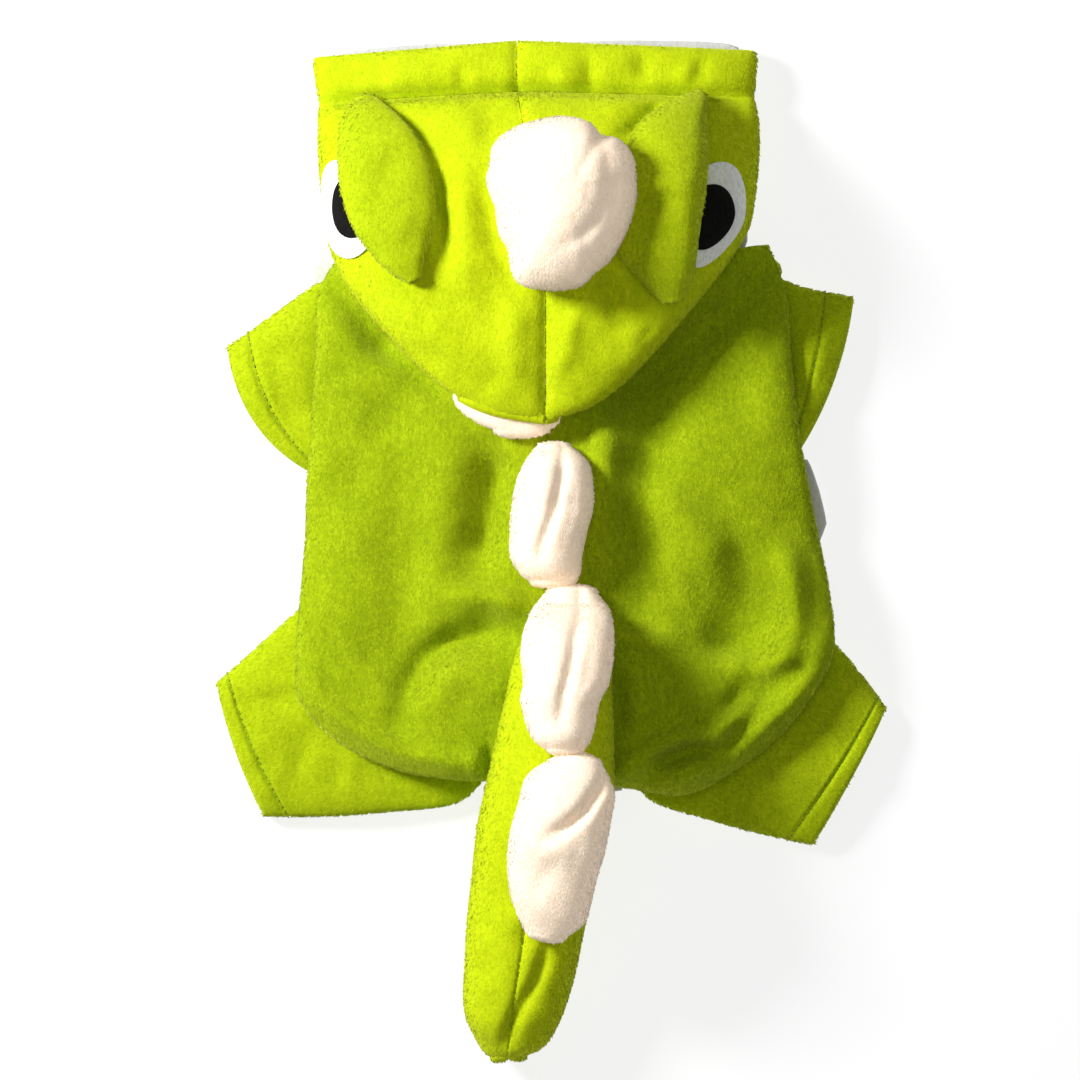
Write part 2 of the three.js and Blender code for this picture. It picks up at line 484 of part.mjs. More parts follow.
// How high a piece lies at a place: a small gap over what is under it, or on the surface.
function restOn(pieces, around = NEAR) {
  const top = skyline(pieces);
  return (x, y) => {
    let height = 0;
    for (const dx of [-around, 0, around]) {
      for (const dy of [-around, 0, around]) height = Math.max(height, top(x + dx, y + dy) + REST_GAP);
    }
    return height;
  };
}

// A point of a panel: across is 0 on the centre seam, RIM on the rolled side and 1 on the lower edge.
function panelPoint(row, across, seam, folds) {
  if (across <= RIM) {
    const angle = (Math.PI / 2) * (1 - across / RIM);
    const out = power(Math.cos(angle), 2 / PANEL_ROUND);
    const rise = power(Math.sin(angle), 2 / PANEL_ROUND);
    const seamX = seamAt(seam, row.seamY);
    const x = seamX + (row.rimX - seamX) * out;
    const y = row.seamY + (row.rimY - row.seamY) * out;
    const z = row.belt + (row.crown - row.belt) * rise + foldHeight(folds, x, y) * Math.sqrt(rise);
    return new THREE.Vector3(x, y, z);
  }
  const angle = ((Math.PI / 2) * (across - RIM)) / (1 - RIM);
  const back = 1 - power(Math.cos(angle), 2 / PANEL_ROUND);
  const drop = power(Math.sin(angle), 2 / PANEL_ROUND);
  return new THREE.Vector3(
    row.rimX + (row.footX - row.rimX) * back,
    row.rimY + (row.footY - row.rimY) * back,
    row.belt + (row.foot - row.belt) * drop,
  );
}

// Half of the back, the hood or the brim: side is -1 left of its seam and 1 right of it.
function panelGrid(rows, count, side, seam, folds, rest) {
  const keep = keepToSide(side, seam);
  const steps = UPPER_STEPS + LOWER_STEPS;
  return Array.from({ length: count }, (_, i) => {
    const row = rowAt(rows, i / (count - 1));
    return Array.from({ length: steps + 1 }, (_, j) => {
      const upper = j <= UPPER_STEPS;
      const lower = RIM + ((1 - RIM) * (j - UPPER_STEPS)) / LOWER_STEPS;
      const across = upper ? (RIM * j) / UPPER_STEPS : lower;
      const point = keep(panelPoint(row, across, seam, folds));
      point.z = Math.max(point.z, rest(point.x, point.y));
      return point;
    });
  });
}

// Moves a point back to its own side of a seam.
function keepToSide(side, seam) {
  return (point) => {
    const line = seamAt(seam, point.y) + (side * SEAM_GAP) / 2;
    point.x = side < 0 ? Math.min(point.x, line) : Math.max(point.x, line);
    return point;
  };
}

const upward = (point, normal) => normal.z > 0;
const outward = (point, normal, ring) => normal.dot(point.clone().sub(centreOf(ring))) > 0;

// A short tube of cloth lying flat, from its sewn end to its open end, with a turned hem.
function flatTube(rows, count) {
  const [start, end] = [rows[0], rows[rows.length - 1]].map(
    (row) => new THREE.Vector3(row.upperX + row.lowerX, row.upperY + row.lowerY, 0).divideScalar(2),
  );
  const run = end.sub(start);
  const length = run.length();
  run.normalize();
  const hemStart = 1 - HEM / length;
  const shares = Array.from({ length: count }, (_, i) => (hemStart * i) / (count - 1));
  shares.push(hemStart + HEM_STEP / length, 1 - HEM_ROLL / length, 1);
  return shares.map((share, i) => {
    const row = rowAt(rows, share);
    const rise = i >= count && i < count + 2 ? HEM_RISE : 0;
    return Array.from({ length: TUBE_SIDES }, (_, k) => {
      const angle = (2 * Math.PI * k) / TUBE_SIDES;
      const along = power(Math.cos(angle), 2 / TUBE_END_ROUND);
      const up = power(Math.sin(angle), 2 / TUBE_TOP_ROUND);
      const middle = row.height * TUBE_MIDDLE;
      const z = up > 0 ? middle + (row.height - middle + rise) * up : middle * (1 + TUBE_SINK * up);
      const part = (1 - along) / 2;
      const bow = row.bow * (1 - along * along);
      return new THREE.Vector3(
        row.upperX + (row.lowerX - row.upperX) * part + run.x * bow,
        row.upperY + (row.lowerY - row.upperY) * part + run.y * bow,
        Math.max(z, 0),
      );
    });
  });
}

// A stuffed roll along a table of sections. part is "all", "left" or "right" of its lengthwise seam.
// On a carrier its sections stand on the surface below; free, their z is a height.
function stuffedRoll(rows, count, sides, rest, { part = "all", free = false, groove } = {}) {
  const rings = [];
  const span = part === "all" ? sides : sides + 1;
  for (let i = 0; i < count; i++) {
    const share = i / (count - 1);
    const row = rowAt(rows, share);
    const before = rowAt(rows, Math.max(share - 1 / count, 0));
    const after = rowAt(rows, Math.min(share + 1 / count, 1));
    const run = new THREE.Vector3(after.x - before.x, after.y - before.y, 0).normalize();
    const right = new THREE.Vector3(-run.y, run.x, 0);
    const base = free ? 0 : rest(row.x, row.y);
    const shift = part === "left" ? -SEAM_GAP / 2 : part === "right" ? SEAM_GAP / 2 : 0;
    rings.push(Array.from({ length: span }, (_, k) => {
      const turn = part === "all" ? (2 * Math.PI * k) / sides : (Math.PI * k) / sides;
      const angle = part === "left" ? turn + Math.PI / 2 : part === "right" ? turn - Math.PI / 2 : turn;
      const across = power(Math.cos(angle), 2 / ROLL_ROUND);
      const up = power(Math.sin(angle), 2 / ROLL_ROUND);
      const wide = (across < 0 ? row.left : row.right) * across + shift;
      const x = row.x + right.x * wide;
      const y = row.y + right.y * wide;
      const under = free ? row.under : row.z;
      let z = base + row.z + (up > 0 ? row.over : under) * up;
      if (groove && up > 0) {
        const off = (across - groove.from - (groove.to - groove.from) * share) / groove.wide;
        z -= groove.depth * Math.exp(-off * off) * Math.sin(Math.PI * share);
      }
      return new THREE.Vector3(x, y, Math.max(z, rest(x, y)));
    }));
  }
  const columns = span;
  const points = rings.flat();
  const triangles = [];
  cells(triangles, count, columns, (i, j) => i * columns + j, true);
  for (const [ring, next, turned] of [[0, 1, true], [count - 1, count - 2, false]]) {
    const middle = centreOf(rings[ring]);
    const away = middle.clone().sub(centreOf(rings[next])).setZ(0).normalize();
    const width = rings[ring][0].distanceTo(rings[ring][Math.floor(columns / 2)]);
    const pole = points.push(middle.addScaledVector(away, POLE_REACH * width)) - 1;
    for (let j = 0; j < columns; j++) {
      const k = (j + 1) % columns;
      const [a, b] = [ring * columns + j, ring * columns + k];
      triangles.push(turned ? [a, b, pole] : [b, a, pole]);
    }
  }
  return solid(points, triangles);
}

function centreOf(ring) {
  return ring.reduce((sum, each) => sum.add(each), new THREE.Vector3()).divideScalar(ring.length);
}

// Reach of the horn's outline from its middle at an angle.
function hornReach(degrees) {
  const rows = [...HORN_OUTLINE, ...HORN_OUTLINE.map((row) => ({ deg: row.deg + 360, reach: row.reach }))];
  const at = degrees < rows[0].deg ? degrees + 360 : degrees;
  const next = rows.findIndex((row) => row.deg > at);
  const [a, b] = [rows[next - 1], rows[next]];
  const part = (1 - Math.cos((Math.PI * (at - a.deg)) / (b.deg - a.deg))) / 2;
  return a.reach + part * (b.reach - a.reach);
}

// The stuffed horn, as slices that swell over its sewn base and close to a blunt end.
function hornSolid(rest) {
  const baseZ = rest(HORN.x, HORN.y);
  const rings = HORN_SLICES.map(({ at, width }) =>
    Array.from({ length: HORN_SIDES }, (_, k) => {
      const degrees = (360 * k) / HORN_SIDES;
      const near = (((degrees - HORN.grooveAt + 540) % 360) - 180) / HORN.grooveSpread;
      const dent = at > 0 ? HORN.groove * Math.exp(-near * near) : 0;
      const reach = (hornReach(degrees) - dent) * width;
      const x = HORN.x + HORN.leanX * at + reach * Math.cos(radians(degrees));
      const y = HORN.y + HORN.leanY * at + reach * Math.sin(radians(degrees));
      const z = at > 0 ? baseZ + HORN.height * at : 0;
      return new THREE.Vector3(x, y, Math.max(z, rest(x, y)));
    }),
  );
  const points = rings.flat();
  const triangles = [];
  cells(triangles, rings.length, HORN_SIDES, (i, j) => i * HORN_SIDES + j, true);
  const middle = new THREE.Vector3(HORN.x, HORN.y, baseZ);
  const foot = points.push(middle) - 1;
  const tip = points.push(middle.clone().add(new THREE.Vector3(HORN.leanX, HORN.leanY, HORN.height))) - 1;
  const top = (rings.length - 1) * HORN_SIDES;
  for (let j = 0; j < HORN_SIDES; j++) {
    const k = (j + 1) % HORN_SIDES;
    triangles.push([j, k, foot], [top + k, top + j, tip]);
  }
  return solid(points, triangles);
}

// The place on a panel's outer faces at a share along its sections and across them.
function onPanel(grid, along, across) {
  const column = across <= RIM
    ? (UPPER_STEPS * across) / RIM
    : UPPER_STEPS + (LOWER_STEPS * (across - RIM)) / (1 - RIM);
  const [row, rowPart] = splitAt(along * (grid.length - 1), grid.length - 2);
  const [cell, cellPart] = splitAt(column, grid[0].length - 2);
  const near = grid[row][cell];
  const far = grid[row + 1][cell + 1];
  const corner = rowPart >= cellPart ? grid[row + 1][cell] : grid[row][cell + 1];
  const [first, second] = rowPart >= cellPart ? [rowPart, cellPart] : [cellPart, rowPart];
  const point = near.clone().addScaledVector(corner.clone().sub(near), first);
  return point.addScaledVector(far.clone().sub(corner), second);
}

function splitAt(value, last) {
  const whole = clamp(Math.floor(value), 0, last);
  return [whole, value - whole];
}

// A felt oval laid on a panel, lifted off it by a height along the panel's normals.
function feltOval(grid, oval, lift) {
  const normals = gridNormals(grid, false, upward);
  const placeAt = (along, across) => ({
    point: onPanel(grid, along, across),
    normal: onPanel(normals, along, across).normalize(),
  });
  const places = [placeAt(oval.along, oval.across)];
  for (let i = 1; i <= OVAL_CIRCLES; i++) {
    for (let k = 0; k < OVAL_SIDES; k++) {
      const angle = (2 * Math.PI * k) / OVAL_SIDES;
      const reach = i / OVAL_CIRCLES;
      const along = oval.along + oval.long * reach * Math.sin(angle);
      places.push(placeAt(along, oval.across + oval.wide * reach * Math.cos(angle)));
    }
  }
  const low = places.map(({ point, normal }) => point.clone().addScaledVector(normal, lift));
  const high = places.map(({ point, normal }) => point.clone().addScaledVector(normal, lift + FELT));
  const points = [...low, ...high];
  const triangles = [];
  const number = (i, k) => (i === 0 ? 0 : 1 + (i - 1) * OVAL_SIDES + (k % OVAL_SIDES));
  for (let k = 0; k < OVAL_SIDES; k++) {
    for (const [offset, turned] of [[0, true], [low.length, false]]) {
      const push = (a, b, c) => triangles.push((turned ? [a, c, b] : [a, b, c]).map((at) => at + offset));
      push(0, number(1, k), number(1, k + 1));
      for (let i = 1; i < OVAL_CIRCLES; i++) {
        push(number(i, k), number(i + 1, k), number(i + 1, k + 1));
        push(number(i, k), number(i + 1, k + 1), number(i, k + 1));
      }
    }
    const [a, b] = [number(OVAL_CIRCLES, k), number(OVAL_CIRCLES, k + 1)];
    triangles.push([a, b, b + low.length], [a, b + low.length, a + low.length]);
  }
  return solid(points, triangles);
}

// A flat panel on the surface inside a smooth outline.
function flatPanel(outline) {
  const shape = new THREE.Shape(outline.map(({ x, y }) => new THREE.Vector2(x, y)));
  const geometry = new THREE.ExtrudeGeometry(shape, { depth: CLOTH, bevelEnabled: false });
  return welded(geometry);
}

// The same mesh with its shared corners merged.
function welded(geometry) {
  const position = geometry.getAttribute("position");
  const numbers = new Map();
  const points = [];
  const names = [];
  for (let k = 0; k < position.count; k++) {
    const point = new THREE.Vector3().fromBufferAttribute(position, k);
    const key = point.toArray().map((value) => value.toFixed(4)).join(" ");
    if (!numbers.has(key)) numbers.set(key, points.push(point) - 1);
    names.push(numbers.get(key));
  }
  const triangles = [];
  for (let k = 0; k < names.length; k += 3) triangles.push(names.slice(k, k + 3));
  return solid(points, triangles);
}

const group = new THREE.Group();

function add(name, geometry, finish) {
  const mesh = new THREE.Mesh(geometry, new THREE.MeshStandardMaterial(finish));
  mesh.name = name;
  group.add(mesh);
  return mesh;
}

const belly = add("belly", flatPanel(BELLY_OUTLINE), PALE_PLUSH);
const throat = add("throat", flatPanel(THROAT_OUTLINE), PALE_PLUSH);

const tubes = [
  { name: "sleeve_left", rows: SLEEVE_LEFT, rings: 5 },
  { name: "sleeve_right", rows: SLEEVE_RIGHT, rings: 5 },
  { name: "leg_left", rows: LEG_LEFT, rings: 6 },
  { name: "leg_right", rows: LEG_RIGHT, rings: 6 },
].map(({ name, rows, rings }) => {
  const cloth = wall(flatTube(rows, rings), CLOTH, { round: true, isOut: outward });
  return add(name, cloth, PLUSH);
});

const surfacePieces = [belly, throat, ...tubes];
const backs = [
  { name: "back_left", rows: BACK_LEFT, side: -1 },
  { name: "back_right", rows: BACK_RIGHT, side: 1 },
].map(({ name, rows, side }) => {
  const grid = panelGrid(rows, BACK_ROWS, side, BACK_SEAM, BACK_FOLDS, restOn(surfacePieces));
  return add(name, wall(grid, CLOTH, { isOut: upward, keep: keepToSide(side, BACK_SEAM) }), PLUSH);
});

const onBack = restOn(backs);
const straightGroove = { from: 0.15, to: 0.1, wide: 0.2, depth: 3 };
const slantedGroove = { from: 0.5, to: -0.2, wide: 0.2, depth: 3 };
const addSpike = (name, count, rest, groove) =>
  add(name, stuffedRoll(SPIKES[name], count, SPIKE_SIDES, rest, { groove }), CREAM_PLUSH);
const napeSpike = addSpike("spike_1", 9, onBack, straightGroove);
addSpike("spike_2", 11, onBack, straightGroove);

const underHood = restOn([...surfacePieces, ...backs, napeSpike], NEAR_NAPE);
const hoods = [
  { name: "hood_left", rows: HOOD_LEFT, side: -1 },
  { name: "hood_right", rows: HOOD_RIGHT, side: 1 },
].map(({ name, rows, side }) => {
  const grid = panelGrid(rows, HOOD_ROWS, side, HOOD_SEAM, HOOD_FOLDS, underHood);
  const mesh = add(name, wall(grid, CLOTH, { isOut: upward, keep: keepToSide(side, HOOD_SEAM) }), PLUSH);
  return { mesh, grid };
});
for (const { name, rows, side } of [
  { name: "brim_left", rows: BRIM_LEFT, side: -1 },
  { name: "brim_right", rows: BRIM_RIGHT, side: 1 },
]) {
  const grid = panelGrid(rows, BRIM_ROWS, side, HOOD_SEAM, BRIM_FOLDS, underHood);
  add(name, wall(grid, BAND, { isOut: upward, keep: keepToSide(side, HOOD_SEAM) }), PLUSH);
}

const whiteLift = 0.7;
const pupilLift = whiteLift + FELT + 0.5;
const eyePieces = [];
for (const [name, index] of [["left", 0], ["right", 1]]) {
  const { grid } = hoods[index];
  eyePieces.push(add(`eye_white_${name}`, feltOval(grid, EYES[name].white, whiteLift), WHITE_FELT));
  eyePieces.push(add(`pupil_${name}`, feltOval(grid, EYES[name].pupil, pupilLift), BLACK_FELT));
}

const hoodMeshes = hoods.map(({ mesh }) => mesh);
const onHoodAndEyes = restOn([...hoodMeshes, ...eyePieces]);
for (const name of Object.keys(EARS)) {
  add(name, stuffedRoll(EARS[name], EAR_ROWS, EAR_SIDES, onHoodAndEyes), PLUSH);
}
add("horn", hornSolid(restOn(hoodMeshes)), CREAM_PLUSH);

const underTail = restOn([belly, ...tubes, ...backs], NEAR_NAPE);
const tails = ["left", "right"].map((part) => {
  const half = stuffedRoll(TAIL, TAIL_ROWS, TAIL_SIDES, underTail, { part, free: true });
  return add(`tail_${part}`, half, PLUSH);
});
const onTail = restOn([...tails, ...backs]);
addSpike("spike_3", 11, onTail, straightGroove);
addSpike("spike_4", 12, onTail, slantedGroove);

export default group;
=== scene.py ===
"""A hooded dog suit in short green plush, laid on its belly with its back up.

Sizes are in millimetres until a mesh is made: +X is the garment's right as it lies, +Y runs from
the tail to the face opening, +Z is up, and the belly rests on Z = 0.
"""

import logging
import math
from dataclasses import dataclass, field
from enum import Enum
from typing import Callable, Sequence

import bpy
import numpy as np
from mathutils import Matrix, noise
from mathutils.bvhtree import BVHTree
from mathutils.geometry import tessellate_polygon


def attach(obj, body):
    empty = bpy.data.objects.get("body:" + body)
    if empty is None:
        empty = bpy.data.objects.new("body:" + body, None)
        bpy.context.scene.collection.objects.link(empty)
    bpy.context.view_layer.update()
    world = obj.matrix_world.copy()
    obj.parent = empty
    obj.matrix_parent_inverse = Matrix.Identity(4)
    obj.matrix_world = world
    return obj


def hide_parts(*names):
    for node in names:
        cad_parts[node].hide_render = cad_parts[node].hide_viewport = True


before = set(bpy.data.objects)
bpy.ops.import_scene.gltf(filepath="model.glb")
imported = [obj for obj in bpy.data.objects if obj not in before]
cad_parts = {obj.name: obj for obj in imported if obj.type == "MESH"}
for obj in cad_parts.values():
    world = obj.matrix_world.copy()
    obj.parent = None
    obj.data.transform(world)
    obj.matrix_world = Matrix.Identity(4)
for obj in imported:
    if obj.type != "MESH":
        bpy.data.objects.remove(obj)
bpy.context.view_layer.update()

log = logging.getLogger("dog suit")

MM = 0.001
CLOTH = 2.0
FELT = 0.9
SEAM_GAP = 0.3
REST_GAP = 0.6
FLOOR_CLEAR = 2.6
INSIDE_LOW = 0.4
HIDDEN_BY = 1.5
NEAR = 1.6
FAR = 3.2
LIP_ANGLES = (0.79, 1.57, 2.36)

Colour = tuple[float, float, float]
Rest = Callable[[np.ndarray, np.ndarray], np.ndarray]


class Side(Enum):
    """The garment's halves, as it lies with its back up."""

    LEFT = -1
    RIGHT = 1


class Nap(Enum):
    """The way that a piece's pile is brushed, as a direction from above."""

    TO_TAIL = (0.0, -1.0, 0.0)
    TO_LEFT = (-0.8, -0.6, 0.0)
    TO_RIGHT = (0.8, -0.6, 0.0)


PANEL_COLUMNS = ("seam_y", "crown", "rim_x", "rim_y", "belt", "foot_x", "foot_y", "foot")
TUBE_COLUMNS = ("upper_x", "upper_y", "lower_x", "lower_y", "height", "bow")
ROLL_COLUMNS = ("x", "y", "z", "left", "right", "over", "under")


def curve(
    a: np.ndarray, b: np.ndarray, c: np.ndarray, d: np.ndarray, part: np.ndarray | float
) -> np.ndarray:
    """Points on a smooth curve from b to c, which comes from a and goes on to d.

    Args:
        a: The point before b.
        b: The start.
        c: The end.
        d: The point after c.
        part: How far from b to c, from 0 to 1.

    Returns:
        The points.
    """
    bend = 2 * a - 5 * b + 4 * c - d + part * (3 * (b - c) + d - a)
    return b + 0.5 * part * (c - a + part * bend)


@dataclass(frozen=True)
class Table:
    """Sections of a piece, one in each row, with a smooth curve through every column."""

    columns: tuple[str, ...]
    rows: tuple[tuple[float, ...], ...]

    def at(self, shares: np.ndarray) -> dict[str, np.ndarray]:
        """The columns at some places down the table.

        Args:
            shares: The places, from 0 on the first row to 1 on the last.

        Returns:
            Each column's values there, by name.
        """
        values = np.array(self.rows, float)
        last = len(values) - 1
        places = np.clip(shares, 0, 1) * last
        first = np.minimum(np.floor(places).astype(int), last - 1)
        part = (places - first)[..., None]
        found = curve(*(values[np.clip(first + step, 0, last)] for step in (-1, 0, 1, 2)), part)
        return {name: found[..., k] for k, name in enumerate(self.columns)}


@dataclass(frozen=True)
class Crease:
    """A soft ridge (depth over 0) or trough (under 0) along a line of points, fading at its ends."""

    points: tuple[tuple[float, float], ...]
    wide: float
    depth: float

    def height(self, x: np.ndarray, y: np.ndarray) -> np.ndarray:
        """Height that the crease adds at some places.

        Args:
            x: Places along X.
            y: Places along Y.

        Returns:
            The heights.
        """
        line = np.array(self.points, float)
        steps = np.linalg.norm(np.diff(line, axis=0), axis=1)
        runs = np.concatenate([[0], np.cumsum(steps)]) / steps.sum()
        nearest = np.full(x.shape, np.inf)
        share = np.zeros(x.shape)
        for k, step in enumerate(steps):
            (ax, ay), (bx, by) = line[k], line[k + 1]
            part = np.clip(((x - ax) * (bx - ax) + (y - ay) * (by - ay)) / step**2, 0, 1)
            distance = np.hypot(x - ax - (bx - ax) * part, y - ay - (by - ay) * part)
            closer = distance < nearest
            nearest = np.where(closer, distance, nearest)
            share = np.where(closer, runs[k] + (runs[k + 1] - runs[k]) * part, share)
        fade = 0.35 + 0.65 * np.clip(np.minimum(share, 1 - share) / 0.25, 0, 1)
        return self.depth * fade * np.exp(-((nearest / self.wide) ** 2))


@dataclass(frozen=True)
class Folds:
    """Round swellings and hollows, each turned by degrees from +X, and creases along lines."""

    rows: tuple[tuple[float, ...], ...]
    creases: tuple[Crease, ...] = ()

    def height(self, x: np.ndarray, y: np.ndarray) -> np.ndarray:
        """Height that the folds add at some places.

        Args:
            x: Places along X.
            y: Places along Y.

        Returns:
            The heights.
        """
        total = np.zeros_like(x)
        for fold_x, fold_y, long, wide, turn, depth in self.rows:
            angle = math.radians(turn)
            dx, dy = x - fold_x, y - fold_y
            along = (dx * math.cos(angle) + dy * math.sin(angle)) / long
            across = (dy * math.cos(angle) - dx * math.sin(angle)) / wide
            total += depth * np.exp(-(along**2) - across**2)
        for crease in self.creases:
            total += crease.height(x, y)
        return total


@dataclass
class Form:
    """A closed mesh, with how much pile each point carries and which way it is brushed."""

    points: np.ndarray
    faces: list[tuple[int, ...]]
    cover: np.ndarray
    nap: np.ndarray

    def turned_out(self) -> "Form":
        """This form with its faces pointing outwards."""
        volume = 0.0
        for face in self.faces:
            corners = self.points[list(face)]
            for k in range(1, len(face) - 1):
                volume += float(np.dot(corners[0], np.cross(corners[k], corners[k + 1])))
        if volume < 0:
            self.faces = [face[::-1] for face in self.faces]
        return self


def signed_power(values: np.ndarray, exponent: float) -> np.ndarray:
    """Values raised to a power, with their signs kept."""
    return np.sign(values) * np.abs(values) ** exponent


def seam_at(seam: Sequence[tuple[float, float]], y: np.ndarray) -> np.ndarray:
    """Finds a seam at some places along Y.

    Args:
        seam: Its (y, x) points, in falling y.
        y: The places.

    Returns:
        X of the seam at each place.
    """
    ys = [point[0] for point in reversed(seam)]
    xs = [point[1] for point in reversed(seam)]
    return np.interp(y, ys, xs)


def unit(vectors: np.ndarray) -> np.ndarray:
    """Vectors brought to a length of 1."""
    return vectors / np.maximum(np.linalg.norm(vectors, axis=-1, keepdims=True), 1e-9)


def grid_normals(grid: np.ndarray, closed: bool) -> np.ndarray:
    """Outward normals of a grid of points.

    Args:
        grid: Points in rows and columns.
        closed: Whether each row is a ring, else the outer side is the upper one.

    Returns:
        A normal for each point.
    """
    down = np.gradient(grid, axis=0)
    if closed:
        wide = np.roll(grid, -1, axis=1) - np.roll(grid, 1, axis=1)
    else:
        wide = np.gradient(grid, axis=1)
    normals = unit(np.cross(down, wide))
    middle = len(grid) // 2
    if closed:
        away = grid[middle] - grid[middle].mean(axis=0)
        sign = np.sign((normals[middle] * away).sum())
    else:
        sign = np.sign(normals[middle, : grid.shape[1] // 3, 2].sum())
    return normals * (sign or 1.0)


def grid_faces(rows: int, columns: int, closed: bool, start: int = 0) -> list[tuple[int, ...]]:
    """Four-sided faces of a grid of points that are numbered row by row.

    Args:
        rows: How many rows the grid has.
        columns: How many points each row has.
        closed: Whether each row is a ring.
        start: The first point's number.

    Returns:
        The faces.
    """
    last = columns if closed else columns - 1
    return [
        (
            start + i * columns + j,
            start + (i + 1) * columns + j,
            start + (i + 1) * columns + (j + 1) % columns,
            start + i * columns + (j + 1) % columns,
        )
        for i in range(rows - 1)
        for j in range(last)
    ]


def brushed(normals: np.ndarray, way: Sequence[float]) -> np.ndarray:
    """The way the pile lies on cloth that is brushed one way.

    Args:
        normals: The cloth's normals.
        way: The way that it is brushed.

    Returns:
        A direction along the cloth for each normal.
    """
    flow = np.asarray(way, float)
    along = (normals * flow).sum(axis=-1, keepdims=True)
    return unit(flow - normals * along)


def cloth_form(
    grid: np.ndarray,
    closed: bool,
    nap: Sequence[float],
    thickness: float = CLOTH,
    keep: Callable[[np.ndarray], np.ndarray] | None = None,
) -> Form:
    """Cloth with its outer side on a grid of points and rounded cut edges.

    Args:
        grid: The outer side.
        closed: Whether each row is a ring.
        nap: The way that the pile is brushed.
        thickness: The cloth's thickness.
        keep: Moves points back to their own side of a seam.

    Returns:
        The cloth as a closed form.
    """
    rows, columns = grid.shape[:2]
    normals = grid_normals(grid, closed)
    inner = grid - normals * thickness
    inner[..., 2] = np.maximum(inner[..., 2], np.minimum(grid[..., 2], INSIDE_LOW))
    if keep is not None:
        inner = keep(inner)
    count = rows * columns
    faces = grid_faces(rows, columns, closed)
    faces += [face[::-1] for face in grid_faces(rows, columns, closed, count)]
    points = [grid.reshape(-1, 3), inner.reshape(-1, 3)]
    cover = [np.ones(count), np.zeros(count)]
    flat_normals = normals.reshape(-1, 3)
    lying = brushed(flat_normals, nap)
    naps = [lying, lying]
    number = np.arange(count).reshape(rows, columns)
    if closed:
        loops = [(number[0], number[1]), (number[-1][::-1], number[-2][::-1])]
    else:
        edge = np.concatenate([number[0], number[1:, -1], number[-1, -2::-1], number[-2:0:-1, 0]])
        behind = np.concatenate(
            [number[1], number[1:, -2], number[-2, -2::-1], number[-2:0:-1, 1]]
        )
        loops = [(edge, behind)]
    outer_points = points[0]
    inner_points = points[1]
    total = 2 * count
    for edge, behind in loops:
        out = unit(outer_points[edge] - outer_points[behind])
        middle = (outer_points[edge] + inner_points[edge]) / 2
        half = (outer_points[edge] - inner_points[edge]) / 2
        size = np.linalg.norm(half, axis=1, keepdims=True)
        rings = [edge]
        for angle in LIP_ANGLES:
            ring = middle + half * math.cos(angle) + out * size * math.sin(angle)
            ring[:, 2] = np.maximum(ring[:, 2], 0)
            if keep is not None:
                ring = keep(ring)
            points.append(ring)
            cover.append(np.full(len(edge), 0.5 if angle < LIP_ANGLES[-1] else 0.0))
            naps.append(lying[edge])
            rings.append(np.arange(total, total + len(edge)))
            total += len(edge)
        rings.append(edge + count)
        for near, far in zip(rings, rings[1:]):
            for k in range(len(edge)):
                other = (k + 1) % len(edge)
                faces.append((near[k], near[other], far[other], far[k]))
    all_points = np.concatenate(points)
    all_cover = np.concatenate(cover) * (all_points[:, 2] > FLOOR_CLEAR)
    plain_faces = [tuple(map(int, face)) for face in faces]
    return Form(all_points, plain_faces, all_cover, np.concatenate(naps)).turned_out()


def capped_form(rings: np.ndarray, nap: Sequence[float]) -> Form:
    """A stuffed form through a list of rings, with its ends closed to a point.

    Args:
        rings: Rings of points from end to end.
        nap: The way that the pile is brushed.

    Returns:
        The closed form.
    """
    count, sides = rings.shape[:2]
    poles = [rings[0].mean(axis=0), rings[-1].mean(axis=0)]
    points = np.concatenate([rings.reshape(-1, 3), poles])
    faces = grid_faces(count, sides, True)
    first, last = count * sides, count * sides + 1
    faces += [(k, (k + 1) % sides, first) for k in range(sides)]
    top = (count - 1) * sides
    faces += [(top + (k + 1) % sides, top + k, last) for k in range(sides)]
    normals = grid_normals(rings, True).reshape(-1, 3)
    ends = np.array([unit(poles[0] - rings[1].mean(axis=0)),
                     unit(poles[1] - rings[-2].mean(axis=0))])
    normals = np.concatenate([normals, ends])
    cover = (points[:, 2] > FLOOR_CLEAR).astype(float)
    return Form(points, faces, cover, brushed(normals, nap)).turned_out()


class Skyline:
    """Finds how high some forms stand at a place, seen from above."""

    HIGH = 400.0

    def __init__(self, forms: Sequence[Form]) -> None:
        """Collects the faces of the forms.

        Args:
            forms: What may lie below.
        """
        points: list[list[float]] = []
        faces: list[tuple[int, ...]] = []
        for form in forms:
            start = len(points)
            points.extend(form.points.tolist())
            faces.extend(tuple(start + k for k in face) for face in form.faces)
        self.tree = BVHTree.FromPolygons(points, faces)

    def height(self, x: float, y: float) -> float:
        """Height of the highest face at a place, or minus infinity beside all of them."""
        hit = self.tree.ray_cast((x, y, self.HIGH), (0.0, 0.0, -1.0))[0]
        return -math.inf if hit is None else hit.z

    def rest(self, around: float) -> Rest:
        """A function that gives how high a piece lies at some places.

        Args:
            around: How far about each place the forms below are felt.

        Returns:
            The function, from arrays of x and y to heights; 0 is the surface.
        """
        steps = [(dx, dy) for dx in (-around, 0, around) for dy in (-around, 0, around)]

        def height(x: np.ndarray, y: np.ndarray) -> np.ndarray:
            """Height at which a piece lies at each place."""
            found = [
                max(max(self.height(px + dx, py + dy) for dx, dy in steps) + REST_GAP, 0.0)
                for px, py in zip(x.ravel(), y.ravel())
            ]
            return np.array(found).reshape(x.shape)

        return height

    def covered(self, points: np.ndarray) -> np.ndarray:
        """Which points lie under one of the forms, by more than a little."""
        return np.array([self.height(x, y) > z + HIDDEN_BY for x, y, z in points])


